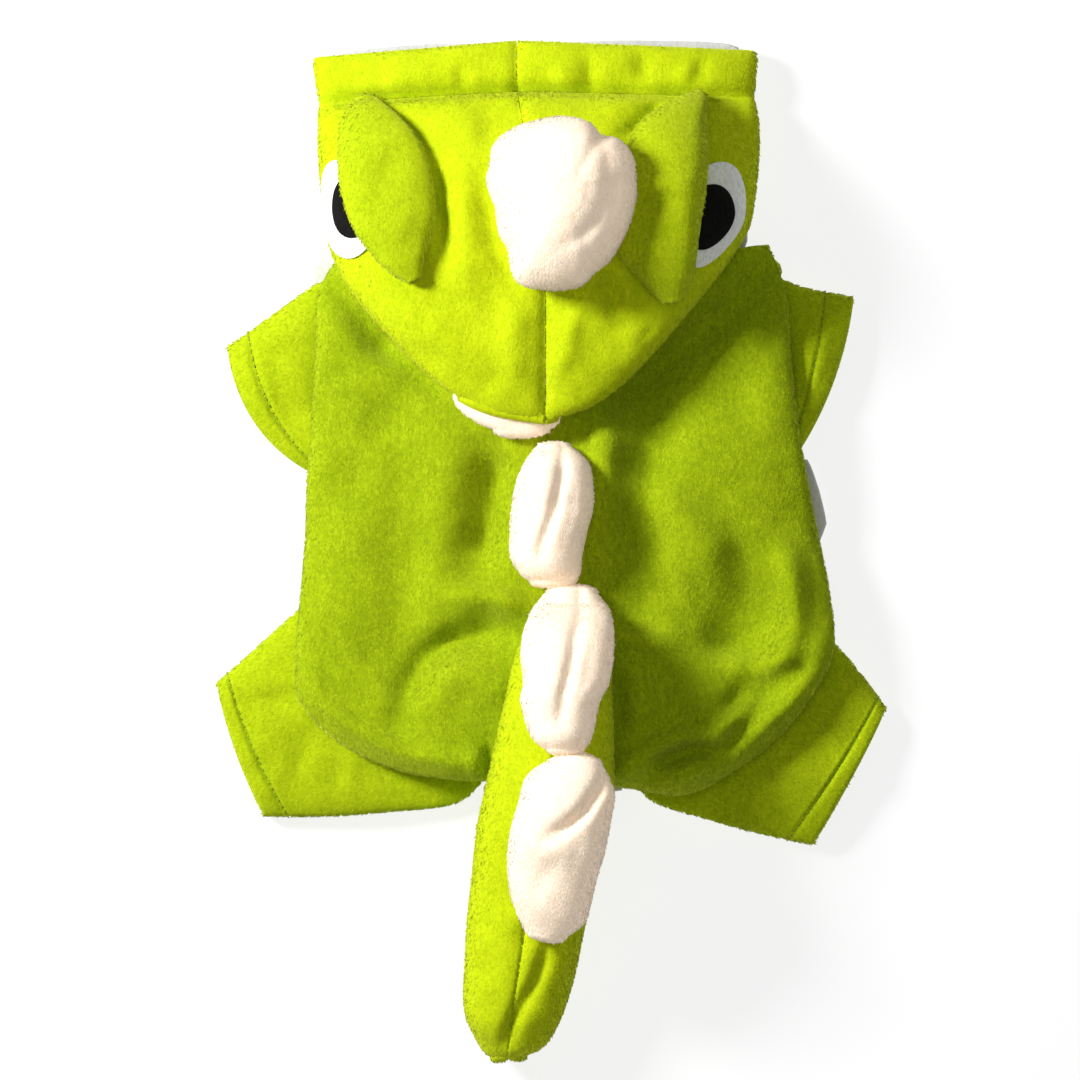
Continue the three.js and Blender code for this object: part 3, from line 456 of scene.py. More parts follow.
def blurred(values: np.ndarray, times: int, closed: bool = False) -> np.ndarray:
    """A grid of numbers, softened over its neighbours.

    Args:
        values: The numbers, in rows and columns.
        times: How often each is averaged with its neighbours.
        closed: Whether each row is a ring.

    Returns:
        The softened numbers.
    """
    soft = values.copy()
    for _ in range(times):
        tall = np.pad(soft, ((1, 1), (0, 0)), mode="edge")
        soft = (tall[:-2] + 2 * tall[1:-1] + tall[2:]) / 4
        wide = np.pad(soft, ((0, 0), (1, 1)), mode="wrap" if closed else "edge")
        soft = (wide[:, :-2] + 2 * wide[:, 1:-1] + wide[:, 2:]) / 4
    return soft


def crumple(points: np.ndarray, size: float, depth: float, seed: float) -> np.ndarray:
    """Heights of a fine, uneven rumpling of cloth.

    Args:
        points: Places, in millimetres.
        size: About how wide one swelling is.
        depth: How high the swellings stand.
        seed: Shifts the pattern.

    Returns:
        A height for each place.
    """
    flat = points.reshape(-1, 3) / size + seed
    heights = [noise.noise((x, y, z)) for x, y, z in flat.tolist()]
    return depth * np.array(heights).reshape(points.shape[:-1])


def add_node(
    tree: bpy.types.NodeTree,
    kind: str,
    settings: dict[str, object] | None = None,
    values: dict[int | str, object] | None = None,
) -> bpy.types.Node:
    """Adds a node to a tree.

    Args:
        tree: The tree.
        kind: The node's type.
        settings: Its own settings, which are set first.
        values: Values or output sockets for its inputs, by name or place.

    Returns:
        The node.
    """
    made = tree.nodes.new(kind)
    for name, value in (settings or {}).items():
        setattr(made, name, value)
    for name, value in (values or {}).items():
        given = value.output if isinstance(value, Socket) else value
        if isinstance(given, bpy.types.NodeSocket):
            tree.links.new(given, made.inputs[name])
        else:
            made.inputs[name].default_value = given
    return made


class Socket:
    """A shader value that can be used in Python expressions."""

    def __init__(self, shader: "Shader", output: bpy.types.NodeSocket) -> None:
        """Wraps an output of a node.

        Args:
            shader: The material being built.
            output: The node's output.
        """
        self.shader = shader
        self.output = output

    def _math(self, operation: str, *values: "Socket | float") -> "Socket":
        """A Math node on some values."""
        return self.shader.node("ShaderNodeMath", {"operation": operation}, dict(enumerate(values)))

    def __add__(self, other: "Socket | float") -> "Socket":
        """The sum."""
        return self._math("ADD", self, other)

    __radd__ = __add__

    def __sub__(self, other: "Socket | float") -> "Socket":
        """The difference."""
        return self._math("SUBTRACT", self, other)

    def __rsub__(self, other: "Socket | float") -> "Socket":
        """The difference, the other way round."""
        return self._math("SUBTRACT", other, self)

    def __mul__(self, other: "Socket | float") -> "Socket":
        """The product."""
        return self._math("MULTIPLY", self, other)

    __rmul__ = __mul__

    def smooth(self, low: float, high: float) -> "Socket":
        """0 under low and 1 over high, with a soft step between."""
        settings = {"interpolation_type": "SMOOTHSTEP"}
        values = {"Value": self, "From Min": low, "From Max": high}
        return self.shader.node("ShaderNodeMapRange", settings, values)


class Shader:
    """Builds the nodes of one material."""

    def __init__(self, name: str) -> None:
        """Starts a material with an empty node tree.

        Args:
            name: The material's name.
        """
        self.material = bpy.data.materials.new(name)
        self.material.use_nodes = True
        self.tree = self.material.node_tree
        self.tree.nodes.clear()

    def node(
        self,
        kind: str,
        settings: dict[str, object] | None = None,
        values: dict[int | str, object] | None = None,
        result: int | str = 0,
    ) -> Socket:
        """Adds a node.

        Args:
            kind: The node's type.
            settings: Its own settings, which are set first.
            values: Numbers, colours or sockets for its inputs, by name or place.
            result: The output to return.

        Returns:
            That output.
        """
        return Socket(self, add_node(self.tree, kind, settings, values).outputs[result])

    def mix(self, share: Socket | float, low: Socket | Colour, high: Socket | Colour) -> Socket:
        """A colour between two.

        Args:
            share: 0 for low and 1 for high.
            low: The first colour.
            high: The second colour.

        Returns:
            The mixed colour.
        """
        values = {
            0: share,
            6: low if isinstance(low, Socket) else (*low, 1.0),
            7: high if isinstance(high, Socket) else (*high, 1.0),
        }
        return self.node("ShaderNodeMix", {"data_type": "RGBA"}, values, 2)

    def clouds(self, place: Socket, size: float, detail: float = 2.0, rough: float = 0.5) -> Socket:
        """Soft noise in patches of about one size.

        Args:
            place: Coordinates.
            size: The size of a patch, in millimetres.
            detail: How much finer noise is added.
            rough: How strong that finer noise is.

        Returns:
            Numbers about 0.5.
        """
        values = {"Vector": place, "Scale": 1000.0 / size, "Detail": detail, "Roughness": rough}
        return self.node("ShaderNodeTexNoise", None, values)

    def place(self, stretch: tuple[float, float, float] = (1, 1, 1)) -> Socket:
        """Coordinates on the object itself.

        Args:
            stretch: Their scale along each axis.

        Returns:
            The coordinates.
        """
        spot = self.node("ShaderNodeTexCoord", None, None, "Object")
        return self.node("ShaderNodeMapping", None, {"Vector": spot, "Scale": stretch})

    def finish(self, values: dict[str, object]) -> bpy.types.Material:
        """Closes the material with a Principled shader.

        Args:
            values: Its inputs, by name.

        Returns:
            The finished material.
        """
        surface = self.node("ShaderNodeBsdfPrincipled", None, values)
        add_node(self.tree, "ShaderNodeOutputMaterial", None, {"Surface": surface})
        return self.material


def linear(red: int, green: int, blue: int) -> Colour:
    """A colour as light.

    Args:
        red: Its red on a screen, from 0 to 255.
        green: Its green.
        blue: Its blue.

    Returns:
        The colour.
    """
    return tuple(
        value / 255 / 12.92 if value <= 10 else ((value / 255 + 0.055) / 1.055) ** 2.4
        for value in (red, green, blue)
    )


@dataclass(frozen=True)
class Plush:
    """Short soft pile: its colours from the roots to the tips, and its nap."""

    name: str
    root: Colour
    body: Colour
    tip: Colour
    sheen: float
    sheen_tint: Colour
    slot: str = ""
    # Painted light: an emission in the root colour that brightens the pile's shaded sides.
    painted_glow: float = 0.0
    clump: float = 1.9
    relief: float = 0.4

    def cloth(self) -> bpy.types.Material:
        """The woven ground with its pile, in clumps brushed one way."""
        shader = Shader(self.name)
        place = shader.place()
        brushed_place = shader.place((1.0, 0.55, 1.0))
        clumps = shader.clouds(brushed_place, self.clump, 2.0, 0.6)
        patches = shader.clouds(place, 26.0, 2.0, 0.5)
        streaks = shader.clouds(shader.place((1.0, 0.12, 0.5)), 5.0, 1.0, 0.5)
        height = clumps * 0.75 + streaks * 0.25
        tone = clumps * 0.6 + patches * 0.25 + streaks * 0.15
        dark = shader.mix(tone.smooth(0.33, 0.5), self.root, self.body)
        colour = shader.mix(tone.smooth(0.48, 0.66), dark, self.tip)
        values = {"Height": height, "Strength": 0.85, "Distance": self.relief * MM}
        bump = shader.node("ShaderNodeBump", None, values)
        return shader.finish({
            "Base Color": colour,
            "Roughness": 0.92,
            "Specular IOR Level": 0.12,
            "Sheen Weight": self.sheen,
            "Sheen Roughness": 0.45,
            "Sheen Tint": (*self.sheen_tint, 1.0),
            # Painted light: the pile glows in its root colour, to lighten its shaded sides.
            "Emission Color": (*self.root, 1.0),
            "Emission Strength": self.painted_glow,
            "Normal": bump,
        })

    def tufts(self) -> list[bpy.types.Material]:
        """Three plain finishes for tufts: body, lit tip and shaded root."""
        made = []
        for word, colour in (("body", self.body), ("tip", self.tip), ("root", self.root)):
            made.append(Shader(f"{self.name}_tuft_{word}").finish({
                "Base Color": (*colour, 1.0),
                "Roughness": 0.95,
                "Specular IOR Level": 0.1,
                "Sheen Weight": self.sheen * 0.8,
                "Sheen Roughness": 0.5,
                "Sheen Tint": (*self.sheen_tint, 1.0),
                # Painted light: the tufts glow in the root colour, to lighten their shaded sides.
                "Emission Color": (*self.root, 1.0),
                "Emission Strength": self.painted_glow,
            }))
        return made


@dataclass(frozen=True)
class Felt:
    """Thin pressed felt, even but for its short fibres."""

    name: str
    body: Colour
    shade: Colour
    sheen: float = 0.1
    slot: str = ""

    def cloth(self) -> bpy.types.Material:
        """The felt, with a fine fibrous bump."""
        shader = Shader(self.name)
        fibres = shader.clouds(shader.place((1.0, 0.4, 1.0)), 1.1, 3.0, 0.65)
        colour = shader.mix(fibres.smooth(0.35, 0.6), self.shade, self.body)
        values = {"Height": fibres, "Strength": 0.5, "Distance": 0.35 * MM}
        bump = shader.node("ShaderNodeBump", None, values)
        return shader.finish({
            "Base Color": colour,
            "Roughness": 0.9,
            "Specular IOR Level": 0.15,
            "Sheen Weight": self.sheen,
            "Normal": bump,
        })


GREEN_PLUSH = Plush(
    "green_plush", root=linear(178, 199, 8), body=linear(193, 212, 10), tip=linear(205, 220, 20),
    sheen=0.45, sheen_tint=linear(236, 238, 90),
)
# Painted shade: a darker copy of the green plush for the two back halves, standing in for the back
# lying darker under the lights than the hood.
GREEN_PLUSH_PAINTED_SHADE = Plush(
    "green_plush_painted_shade", root=linear(134, 157, 4), body=linear(150, 173, 6),
    tip=linear(170, 190, 16),
    sheen=0.9, sheen_tint=linear(232, 236, 90), slot="green_plush",
)
# Painted shade: a copy of the green plush made somewhat darker, for the sleeves, legs and ears,
# standing in for their lying less lit than the hood.
GREEN_PLUSH_PAINTED_MILD_SHADE = Plush(
    "green_plush_painted_mild_shade", root=linear(156, 178, 6), body=linear(173, 194, 9),
    tip=linear(188, 206, 20),
    sheen=0.6, sheen_tint=linear(232, 238, 90), slot="green_plush",
)
# The cream pile glows a little, painted light that lightens its shaded sides.
CREAM_PLUSH = Plush(
    "cream_plush", root=linear(248, 224, 196), body=linear(252, 234, 212),
    tip=linear(253, 240, 222),
    sheen=0.15, sheen_tint=linear(255, 240, 220), painted_glow=0.2,
)
PALE_PLUSH = Plush(
    "pale_plush", root=linear(196, 196, 194), body=linear(212, 212, 210), tip=linear(222, 222, 220),
    sheen=0.2, sheen_tint=linear(255, 252, 245),
)
WHITE_FELT = Felt("white_felt", body=linear(242, 244, 238), shade=linear(222, 224, 216))
BLACK_FELT = Felt("black_felt", body=linear(16, 15, 13), shade=linear(8, 7, 6), sheen=0.0)
THREAD = linear(128, 150, 10)


class Web:
    """Builds a geometry tree, whose named inputs follow its geometry."""

    def __init__(self, name: str, inputs: dict[str, str]) -> None:
        """Starts the tree.

        Args:
            name: The tree's name.
            inputs: The kind of each input, by its name.
        """
        self.tree = bpy.data.node_groups.new(name, "GeometryNodeTree")
        for label, kind in {"Geometry": "Geometry", **inputs}.items():
            self.tree.interface.new_socket(
                label, in_out="INPUT", socket_type=f"NodeSocket{kind}")
        self.tree.interface.new_socket(
            "Geometry", in_out="OUTPUT", socket_type="NodeSocketGeometry")
        self.given = add_node(self.tree, "NodeGroupInput").outputs

    def node(
        self, kind: str, values: dict[int | str, object] | None = None, **settings: object
    ) -> bpy.types.bpy_prop_collection:
        """Adds a geometry node.

        Args:
            kind: The node's type, without its first words.
            values: Values or output sockets for its inputs, by name or place.
            settings: Its own settings.

        Returns:
            Its outputs.
        """
        return add_node(self.tree, f"GeometryNode{kind}", settings, values).outputs

    def maths(self, operation: str, **values: object) -> bpy.types.NodeSocket:
        """A Vector Math or Math node.

        Args:
            operation: What it does; SCALE and ADD are for vectors.
            values: Its inputs: a and b, or by.

        Returns:
            Its output.
        """
        kind = "ShaderNodeMath" if operation == "MULTIPLY" else "ShaderNodeVectorMath"
        names = {"a": 0, "b": 1, "by": "Scale"}
        inputs = {names[name]: value for name, value in values.items()}
        return add_node(self.tree, kind, {"operation": operation}, inputs).outputs[0]

    def random(
        self, low: object, high: object, seed: object, kind: str = "FLOAT_VECTOR"
    ) -> bpy.types.NodeSocket:
        """A random value for each element.

        Args:
            low: The least value.
            high: The greatest value.
            seed: A number or a socket.
            kind: FLOAT_VECTOR or INT.

        Returns:
            The values.
        """
        first, result = (4, 2) if kind == "INT" else (0, 0)
        values = {first: low, first + 1: high, "Seed": seed}
        made = add_node(self.tree, "FunctionNodeRandomValue", {"data_type": kind}, values)
        return made.outputs[result]

    def stored(self, name: str, kind: str) -> bpy.types.NodeSocket:
        """An attribute's value, by its name."""
        return self.node("InputNamedAttribute", {"Name": name}, data_type=kind)["Attribute"]

    def store(
        self, geometry: bpy.types.NodeSocket, name: str, value: bpy.types.NodeSocket,
        kind: str, domain: str,
    ) -> bpy.types.NodeSocket:
        """Keeps a value as an attribute.

        Args:
            geometry: What carries it.
            name: The attribute's name.
            value: Its value.
            kind: Its type.
            domain: Points or instances.

        Returns:
            The geometry with it.
        """
        values = {"Geometry": geometry, "Name": name, "Value": value}
        return self.node("StoreNamedAttribute", values, data_type=kind, domain=domain)[0]

    def towards(self, vector: bpy.types.NodeSocket) -> bpy.types.NodeSocket:
        """A turn that brings +Z to a vector."""
        values = {"Vector": vector}
        turn = add_node(self.tree, "FunctionNodeAlignRotationToVector", {"axis": "Z"}, values)
        return turn.outputs[0]

    def finish(
        self, instances: bpy.types.NodeSocket, finishes: Sequence[str], mark: str = "",
    ) -> bpy.types.NodeTree:
        """Makes the instances real, dresses them and closes the tree.

        Args:
            instances: The instances.
            finishes: The inputs with their materials: the main one, and others.
            mark: The attribute that numbers the others from 1, if there are any.

        Returns:
            The finished tree.
        """
        last = self.node("RealizeInstances", {"Geometry": instances})[0]
        for number, label in enumerate(finishes):
            values = {"Geometry": last, "Material": self.given[label]}
            if number:
                settings = {"data_type": "INT", "operation": "EQUAL"}
                picked = {2: self.stored(mark, "INT"), 3: number}
                same = add_node(self.tree, "FunctionNodeCompare", settings, picked)
                values["Selection"] = same.outputs[0]
            last = self.node("SetMaterial", values)[0]
        add_node(self.tree, "NodeGroupOutput", None, {"Geometry": last})
        return self.tree


def shown(name: str, data: bpy.types.ID) -> bpy.types.Object:
    """A new object in the scene, at the origin."""
    made = bpy.data.objects.new(name, data)
    bpy.context.scene.collection.objects.link(made)
    return made


def evaluated_mesh(
    source: bpy.types.Object, tree: bpy.types.NodeTree, settings: dict[str, object], name: str
) -> bpy.types.Mesh:
    """The plain mesh that a geometry tree makes of an object.

    Args:
        source: The object.
        tree: The tree.
        settings: Values of its inputs, by their names.
        name: The new mesh's name.

    Returns:
        The mesh, once the modifier is off the object again.
    """
    modifier = source.modifiers.new(tree.name, "NODES")
    modifier.node_group = tree
    for item in tree.interface.items_tree:
        if item.item_type == "SOCKET" and item.in_out == "INPUT" and item.name in settings:
            modifier[item.identifier] = settings[item.name]
    graph = bpy.context.evaluated_depsgraph_get()
    mesh = bpy.data.meshes.new_from_object(source.evaluated_get(graph), depsgraph=graph)
    source.modifiers.remove(modifier)
    mesh.name = name
    return mesh


@dataclass
class Pile:
    """Grows tufts of short pile on a piece, leaning the way it is brushed."""

    density: float = 1.05
    length: float = 1.45
    width: float = 0.4
    lean: float = 2.2
    jitter: float = 0.6
    ruffle_size: float = 22.0
    ruffle_from: float = 0.42
    ruffle_to: float = 0.66
    least_ruffle: float = 0.35
    most_ruffle: float = 2.1
    least_size: tuple[float, float, float] = (0.7, 0.7, 0.6)
    most_size: tuple[float, float, float] = (1.35, 1.35, 1.25)
    own_shade: float = 0.4

    def tree(self) -> bpy.types.NodeTree:
        """The geometry tree that scatters the tufts."""
        web = Web("pile", {
            "Density": "Float", "Length": "Float", "Width": "Float", "Lean": "Float",
            "Jitter": "Float", "Seed": "Int", "Body": "Material", "Tip": "Material",
            "Root": "Material",
        })
        given = web.given
        density = web.maths("MULTIPLY", a=web.stored("cover", "FLOAT"), b=given["Density"])
        points = web.node("DistributePointsOnFaces", {
            "Mesh": given["Geometry"], "Density": density, "Seed": given["Seed"],
        }, distribute_method="RANDOM")
        ground = web.store(points["Points"], "ground", points["Normal"], "FLOAT_VECTOR", "POINT")
        ruffle = add_node(web.tree, "ShaderNodeTexNoise", None, {
            "Vector": web.node("InputPosition")[0], "Scale": 1000.0 / self.ruffle_size,
            "Detail": 2.0,
        })
        ruffled = add_node(web.tree, "ShaderNodeMapRange", {"interpolation_type": "SMOOTHSTEP"}, {
            "Value": ruffle.outputs[0], "From Min": self.ruffle_from, "From Max": self.ruffle_to,
            "To Min": self.least_ruffle, "To Max": self.most_ruffle,
        })
        jitter = web.maths("MULTIPLY", a=ruffled.outputs[0], b=given["Jitter"])
        stray = web.random((-1.0, -1.0, -1.0), (1.0, 1.0, 1.0), given["Seed"])
        leaning = web.maths("SCALE", a=web.stored("nap", "FLOAT_VECTOR"), by=given["Lean"])
        way = web.maths("ADD", a=points["Normal"], b=leaning)
        way = web.maths("ADD", a=way, b=web.maths("SCALE", a=stray, by=jitter))
        tuft = web.node("MeshCone", {
            "Vertices": 3, "Radius Top": 0.0, "Radius Bottom": given["Width"],
            "Depth": given["Length"],
        }, fill_type="NGON")
        placed = web.node("InstanceOnPoints", {
            "Points": ground, "Instance": tuft["Mesh"], "Rotation": web.towards(way),
            "Scale": web.random(self.least_size, self.most_size, 5),
        })[0]
        spin = web.random((0.0, 0.0, 0.0), (0.0, 0.0, 6.28), 9)
        turned = web.node("RotateInstances", {"Instances": placed, "Rotation": spin})[0]
        marked = web.store(turned, "shade", web.random(0, 3, 13, "INT"), "INT", "INSTANCE")
        return web.finish(marked, ("Body", "Tip", "Root"), "shade")

    def grow(
        self, source: bpy.types.Object, tree: bpy.types.NodeTree,
        shades: Sequence[bpy.types.Material], seed: int, thick: float = 1.0,
    ) -> bpy.types.Object:
        """Grows the pile of one piece.

        Args:
            source: The piece, with its cover and nap on its points.
            tree: The geometry tree.
            shades: Finishes for body, tip and root.
            seed: Makes each piece's pile its own.
            thick: How dense the pile is, as a share of the usual.

        Returns:
            The pile as an object.
        """
        settings = {
            "Density": self.density * 1e6 * thick, "Length": self.length * MM,
            "Width": self.width * MM, "Lean": self.lean, "Jitter": self.jitter, "Seed": seed,
            "Body": shades[0], "Tip": shades[1], "Root": shades[2],
        }
        name = f"{source.name}_pile"
        mesh = evaluated_mesh(source, tree, settings, name)
        mesh.shade_smooth()
        ground = np.zeros(len(mesh.vertices) * 3, dtype=np.float32)
        mesh.attributes["ground"].data.foreach_get("vector", ground)
        own = np.zeros(len(mesh.vertices) * 3, dtype=np.float32)
        mesh.vertex_normals.foreach_get("vector", own)
        soft = unit(ground.reshape(-1, 3) + self.own_shade * own.reshape(-1, 3))
        mesh.normals_split_custom_set_from_vertices(soft.tolist())
        for extra in ("shade", "cover", "nap", "ground"):
            if extra in mesh.attributes:
                mesh.attributes.remove(mesh.attributes[extra])
        pile = shown(name, mesh)
        pile.visible_shadow = False
        return pile


@dataclass
class Stitching:
    """Rows of short stitches along a path."""

    pitch: float = 2.9
    stitch: float = 2.0
    thread: float = 0.36

    def tree(self) -> bpy.types.NodeTree:
        """The geometry tree that lays the stitches."""
        web = Web("stitches", {
            "Pitch": "Float", "Stitch": "Float", "Thread": "Float", "Finish": "Material",
        })
        given = web.given
        line = web.node("MeshToCurve", {"Mesh": given["Geometry"]})[0]
        even = web.node("ResampleCurve", {"Curve": line, "Length": given["Pitch"]}, mode="LENGTH")
        thread = web.node("MeshCylinder", {
            "Vertices": 6, "Radius": given["Thread"], "Depth": given["Stitch"],
        })
        placed = web.node("InstanceOnPoints", {
            "Points": even[0], "Instance": thread["Mesh"],
            "Rotation": web.towards(web.node("InputTangent")[0]),
        })
        return web.finish(placed[0], ("Finish",))

    def sew(
        self, name: str, path: np.ndarray, tree: bpy.types.NodeTree, finish: bpy.types.Material
    ) -> bpy.types.Object:
        """Sews one row of stitches.

        Args:
            name: The row's name.
            path: Points that it follows, in millimetres.
            tree: The geometry tree.
            finish: The thread's material.

        Returns:
            The stitches as an object.
        """
        line = bpy.data.meshes.new(f"{name}_path")
        edges = [(k, k + 1) for k in range(len(path) - 1)]
        line.from_pydata((path * MM).tolist(), edges, [])
        source = shown(f"{name}_path", line)
        settings = {
            "Pitch": self.pitch * MM, "Stitch": self.stitch * MM, "Thread": self.thread * MM,
            "Finish": finish,
        }
        mesh = evaluated_mesh(source, tree, settings, name)
        mesh.shade_smooth()
        bpy.data.objects.remove(source)
        return shown(name, mesh)


class Workshop:
    """Makes pieces from their forms, and keeps the forms that later ones rest on."""

    def __init__(self) -> None:
        """Readies the finishes, the pile and the thread."""
        self.forms: dict[str, Form] = {}
        self.materials: dict[str, bpy.types.Material] = {}
        self.shades: dict[str, list[bpy.types.Material]] = {}
        self.pile = Pile()
        self.pile_tree = self.pile.tree()
        self.stitching = Stitching()
        self.stitch_tree = self.stitching.tree()
        self.thread = Shader("thread").finish({"Base Color": (*THREAD, 1.0), "Roughness": 0.7})
        self.count = 0

    def cloth(self, finish: Plush | Felt) -> bpy.types.Material:
        """A finish's own material, made once.

        Args:
            finish: The finish.

        Returns:
            The material.
        """
        if finish.name not in self.materials:
            self.materials[finish.name] = finish.cloth()
            if isinstance(finish, Plush):
                self.shades[finish.name] = finish.tufts()
        return self.materials[finish.name]

    def piece(self, node: str, form: Form, finish: Plush | Felt) -> bpy.types.Object:
        """Makes one piece that stands for a solid of the same name.

        Args:
            node: The solid's name.
            form: The piece's form.
            finish: Its cloth.

        Returns:
            The piece.
        """
        self.forms[node] = form
        mesh = bpy.data.meshes.new(node)
        mesh.from_pydata((form.points * MM).tolist(), [], form.faces)
        mesh.materials.append(self.cloth(finish))
        mesh.shade_smooth()
        return self.declare(shown(f"{node}_cloth", mesh), node)

    def declare(self, made: bpy.types.Object, node: str) -> bpy.types.Object:
        """Attaches one finished piece to the root, hides the solid that it stands for, and logs it.

        Args:
            made: The piece.
            node: The solid that it stands for.

        Returns:
            The piece.
        """
        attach(made, "root")
        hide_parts(node)
        log.info("%s: %d faces", made.name, len(made.data.polygons))
        return made

    def over(self, names: Sequence[str], around: float) -> Rest:
        """How high a piece lies on some earlier ones.

        Args:
            names: The solids that those stand for.
            around: How far about each place they are felt.

        Returns:
            The function that gives the heights.
        """
        return Skyline([self.forms[name] for name in names]).rest(around)

    def pile_on(
        self, piece: bpy.types.Object, node: str, finish: Plush, thick: float = 1.0,
        under: Sequence[str] = (),
    ) -> bpy.types.Object:
        """Grows the pile of a piece, but not where other pieces hide it.

        Args:
            piece: The piece.
            node: The solid that it stands for.
            finish: Its cloth.
            thick: How dense the pile is, as a share of the usual.
            under: The pieces that may lie on it.

        Returns:
            The pile.
        """
        form = self.forms[node]
        cover = form.cover.copy()
        if under:
            above = Skyline([self.forms[name] for name in under])
            cover[above.covered(form.points)] = 0
        mesh = piece.data
        facing = np.zeros(len(mesh.vertices) * 3, dtype=np.float32)
        mesh.vertex_normals.foreach_get("vector", facing)
        cover = cover * np.clip((facing.reshape(-1, 3)[:, 2] + 0.3) / 0.6, 0, 1)
        mesh.attributes.new("cover", "FLOAT", "POINT").data.foreach_set("value", cover)
        mesh.attributes.new("nap", "FLOAT_VECTOR", "POINT").data.foreach_set(
            "vector", form.nap.ravel()
        )
        self.count += 1
        pile = self.pile.grow(piece, self.pile_tree, self.shades[finish.name], self.count, thick)
        for extra in ("cover", "nap"):
            mesh.attributes.remove(mesh.attributes[extra])
        return self.declare(pile, node)

    def stitches(self, name: str, node: str, path: np.ndarray) -> bpy.types.Object:
        """Sews a row of stitches on a piece.

        Args:
            name: The row's name.
            node: The solid that it lies on.
            path: Points that it follows.

        Returns:
            The stitches.
        """
        row = self.stitching.sew(name, path, self.stitch_tree, self.thread)
        return self.declare(row, node)


BACK_SEAM = ((213, -4.5), (115.5, -4.5), (46, -1.5), (-21, 3.5), (-105, 2))
HOOD_SEAM = ((230, -14.5), (192.5, -14.5), (147, -7), (105, -2.5), (46, -2.5))


@dataclass
class Panel:
    """Half of the back, the hood or the brim, over its rolled side to its sewn lower edge.

    The rows of its table run from front to back. Each section starts on the centre seam, crown
    high, rolls over at the rim, belt high, and ends at its foot.
    """

    node: str
    side: Side
    seam: tuple[tuple[float, float], ...]
    rows: tuple[tuple[float, ...], ...]
    folds: Folds
    count: int
    upper: int
    lower: int
    cut: tuple[float, float]
    area: float
    seam_dip: float = 1.8
    seam_width: float = 2.4
    front_dip: float = 0.0
    rear_dip: float = 0.0
    edge_width: float = 3.0
    rumple: float = 0.9
    rim: float = 0.68
    roundness: float = 2.4
    seam_steps: tuple[float, ...] = (0.0, 0.14, 0.3, 0.5, 0.72)
    crowding: float = 1.2
    nap: Nap = Nap.TO_TAIL
    shares: np.ndarray = field(default_factory=lambda: np.zeros(0), repr=False)
    across: np.ndarray = field(default_factory=lambda: np.zeros(0), repr=False)
    grid: np.ndarray = field(default_factory=lambda: np.zeros(0), repr=False)

    def keep(self, points: np.ndarray) -> np.ndarray:
        """Moves points back to this panel's side of the seam.

        Args:
            points: The points.

        Returns:
            The moved points.
        """
        line = seam_at(self.seam, points[..., 1]) + self.side.value * SEAM_GAP / 2
        kept = points.copy()
        if self.side is Side.LEFT:
            kept[..., 0] = np.minimum(points[..., 0], line)
        else:
            kept[..., 0] = np.maximum(points[..., 0], line)
        return kept

    def lay(self, rest: Rest) -> Form:
        """Lays the panel over what is below.

        Args:
            rest: How high things lie at each place.

        Returns:
            The panel's form.
        """
        near = np.array(self.seam_steps) / self.upper
        steps = np.concatenate([near, np.arange(1, self.upper + 1) / self.upper]) ** self.crowding
        low = self.rim + (1 - self.rim) * np.arange(1, self.lower + 1) / self.lower
        self.across = np.concatenate([self.rim * steps, low])
        self.shares = np.linspace(0, 1, self.count)
        row = Table(PANEL_COLUMNS, self.rows).at(self.shares[:, None])
        power = 2 / self.roundness
        upper_angle = np.pi / 2 * (1 - np.minimum(self.across / self.rim, 1))[None, :]
        out = signed_power(np.cos(upper_angle), power)
        rise = signed_power(np.sin(upper_angle), power)
        under_rim = np.clip((self.across - self.rim) / (1 - self.rim), 0, 1)
        lower_angle = np.pi / 2 * under_rim[None, :]
        back = 1 - signed_power(np.cos(lower_angle), power)
        drop = signed_power(np.sin(lower_angle), power)
        seam_x = seam_at(self.seam, row["seam_y"])
        x = seam_x + (row["rim_x"] - seam_x) * out + (row["foot_x"] - row["rim_x"]) * back
        y = row["seam_y"] + (row["rim_y"] - row["seam_y"]) * out
        y = y + (row["foot_y"] - row["rim_y"]) * back
        z = row["belt"] + (row["crown"] - row["belt"]) * rise + (row["foot"] - row["belt"]) * drop
        grid = self.keep(np.stack([x, y, z], axis=-1))
        x, y = grid[..., 0], grid[..., 1]
        depth = self.folds.height(x, y)
        depth += crumple(grid, 21.0, self.rumple * 2.2, 3.1) + crumple(grid, 9.0, self.rumple, 7.7)
        lift = depth * np.sqrt(rise) * (self.across <= self.rim)[None, :]
        from_seam = np.abs(x - seam_at(self.seam, y))
        lift -= self.seam_dip * np.exp(-((from_seam / self.seam_width) ** 2)) * rise
        run = np.linalg.norm(np.diff(grid, axis=0, prepend=grid[:1]), axis=2).cumsum(axis=0)
        lift -= self.front_dip * np.exp(-((run / self.edge_width) ** 2)) * rise
        lift -= self.rear_dip * np.exp(-(((run[-1:] - run) / self.edge_width) ** 2)) * rise
        grid[..., 2] += lift
        floor = rest(x, y)
        excess = np.maximum(floor - grid[..., 2], 0)
        grid[..., 2] = np.maximum(grid[..., 2] + blurred(excess, 6), floor)
        self.grid = grid
        return cloth_form(grid, False, self.nap.value, keep=self.keep)

    def spot(self, along: np.ndarray, across: np.ndarray, values: np.ndarray) -> np.ndarray:
        """Values of the grid between its points.

        Args:
            along: Places down the sections.
            across: Places across them.
            values: A vector for each point of the grid.

        Returns:
            A vector for each place.
        """
        rows = np.interp(along, self.shares, np.arange(len(self.shares)))
        columns = np.interp(across, self.across, np.arange(len(self.across)))
        i = np.clip(rows.astype(int), 0, len(self.shares) - 2)
        j = np.clip(columns.astype(int), 0, len(self.across) - 2)
        u = (rows - i)[..., None]
        v = (columns - j)[..., None]
        top = values[i, j] * (1 - v) + values[i, j + 1] * v
        bottom = values[i + 1, j] * (1 - v) + values[i + 1, j + 1] * v
        return top * (1 - u) + bottom * u


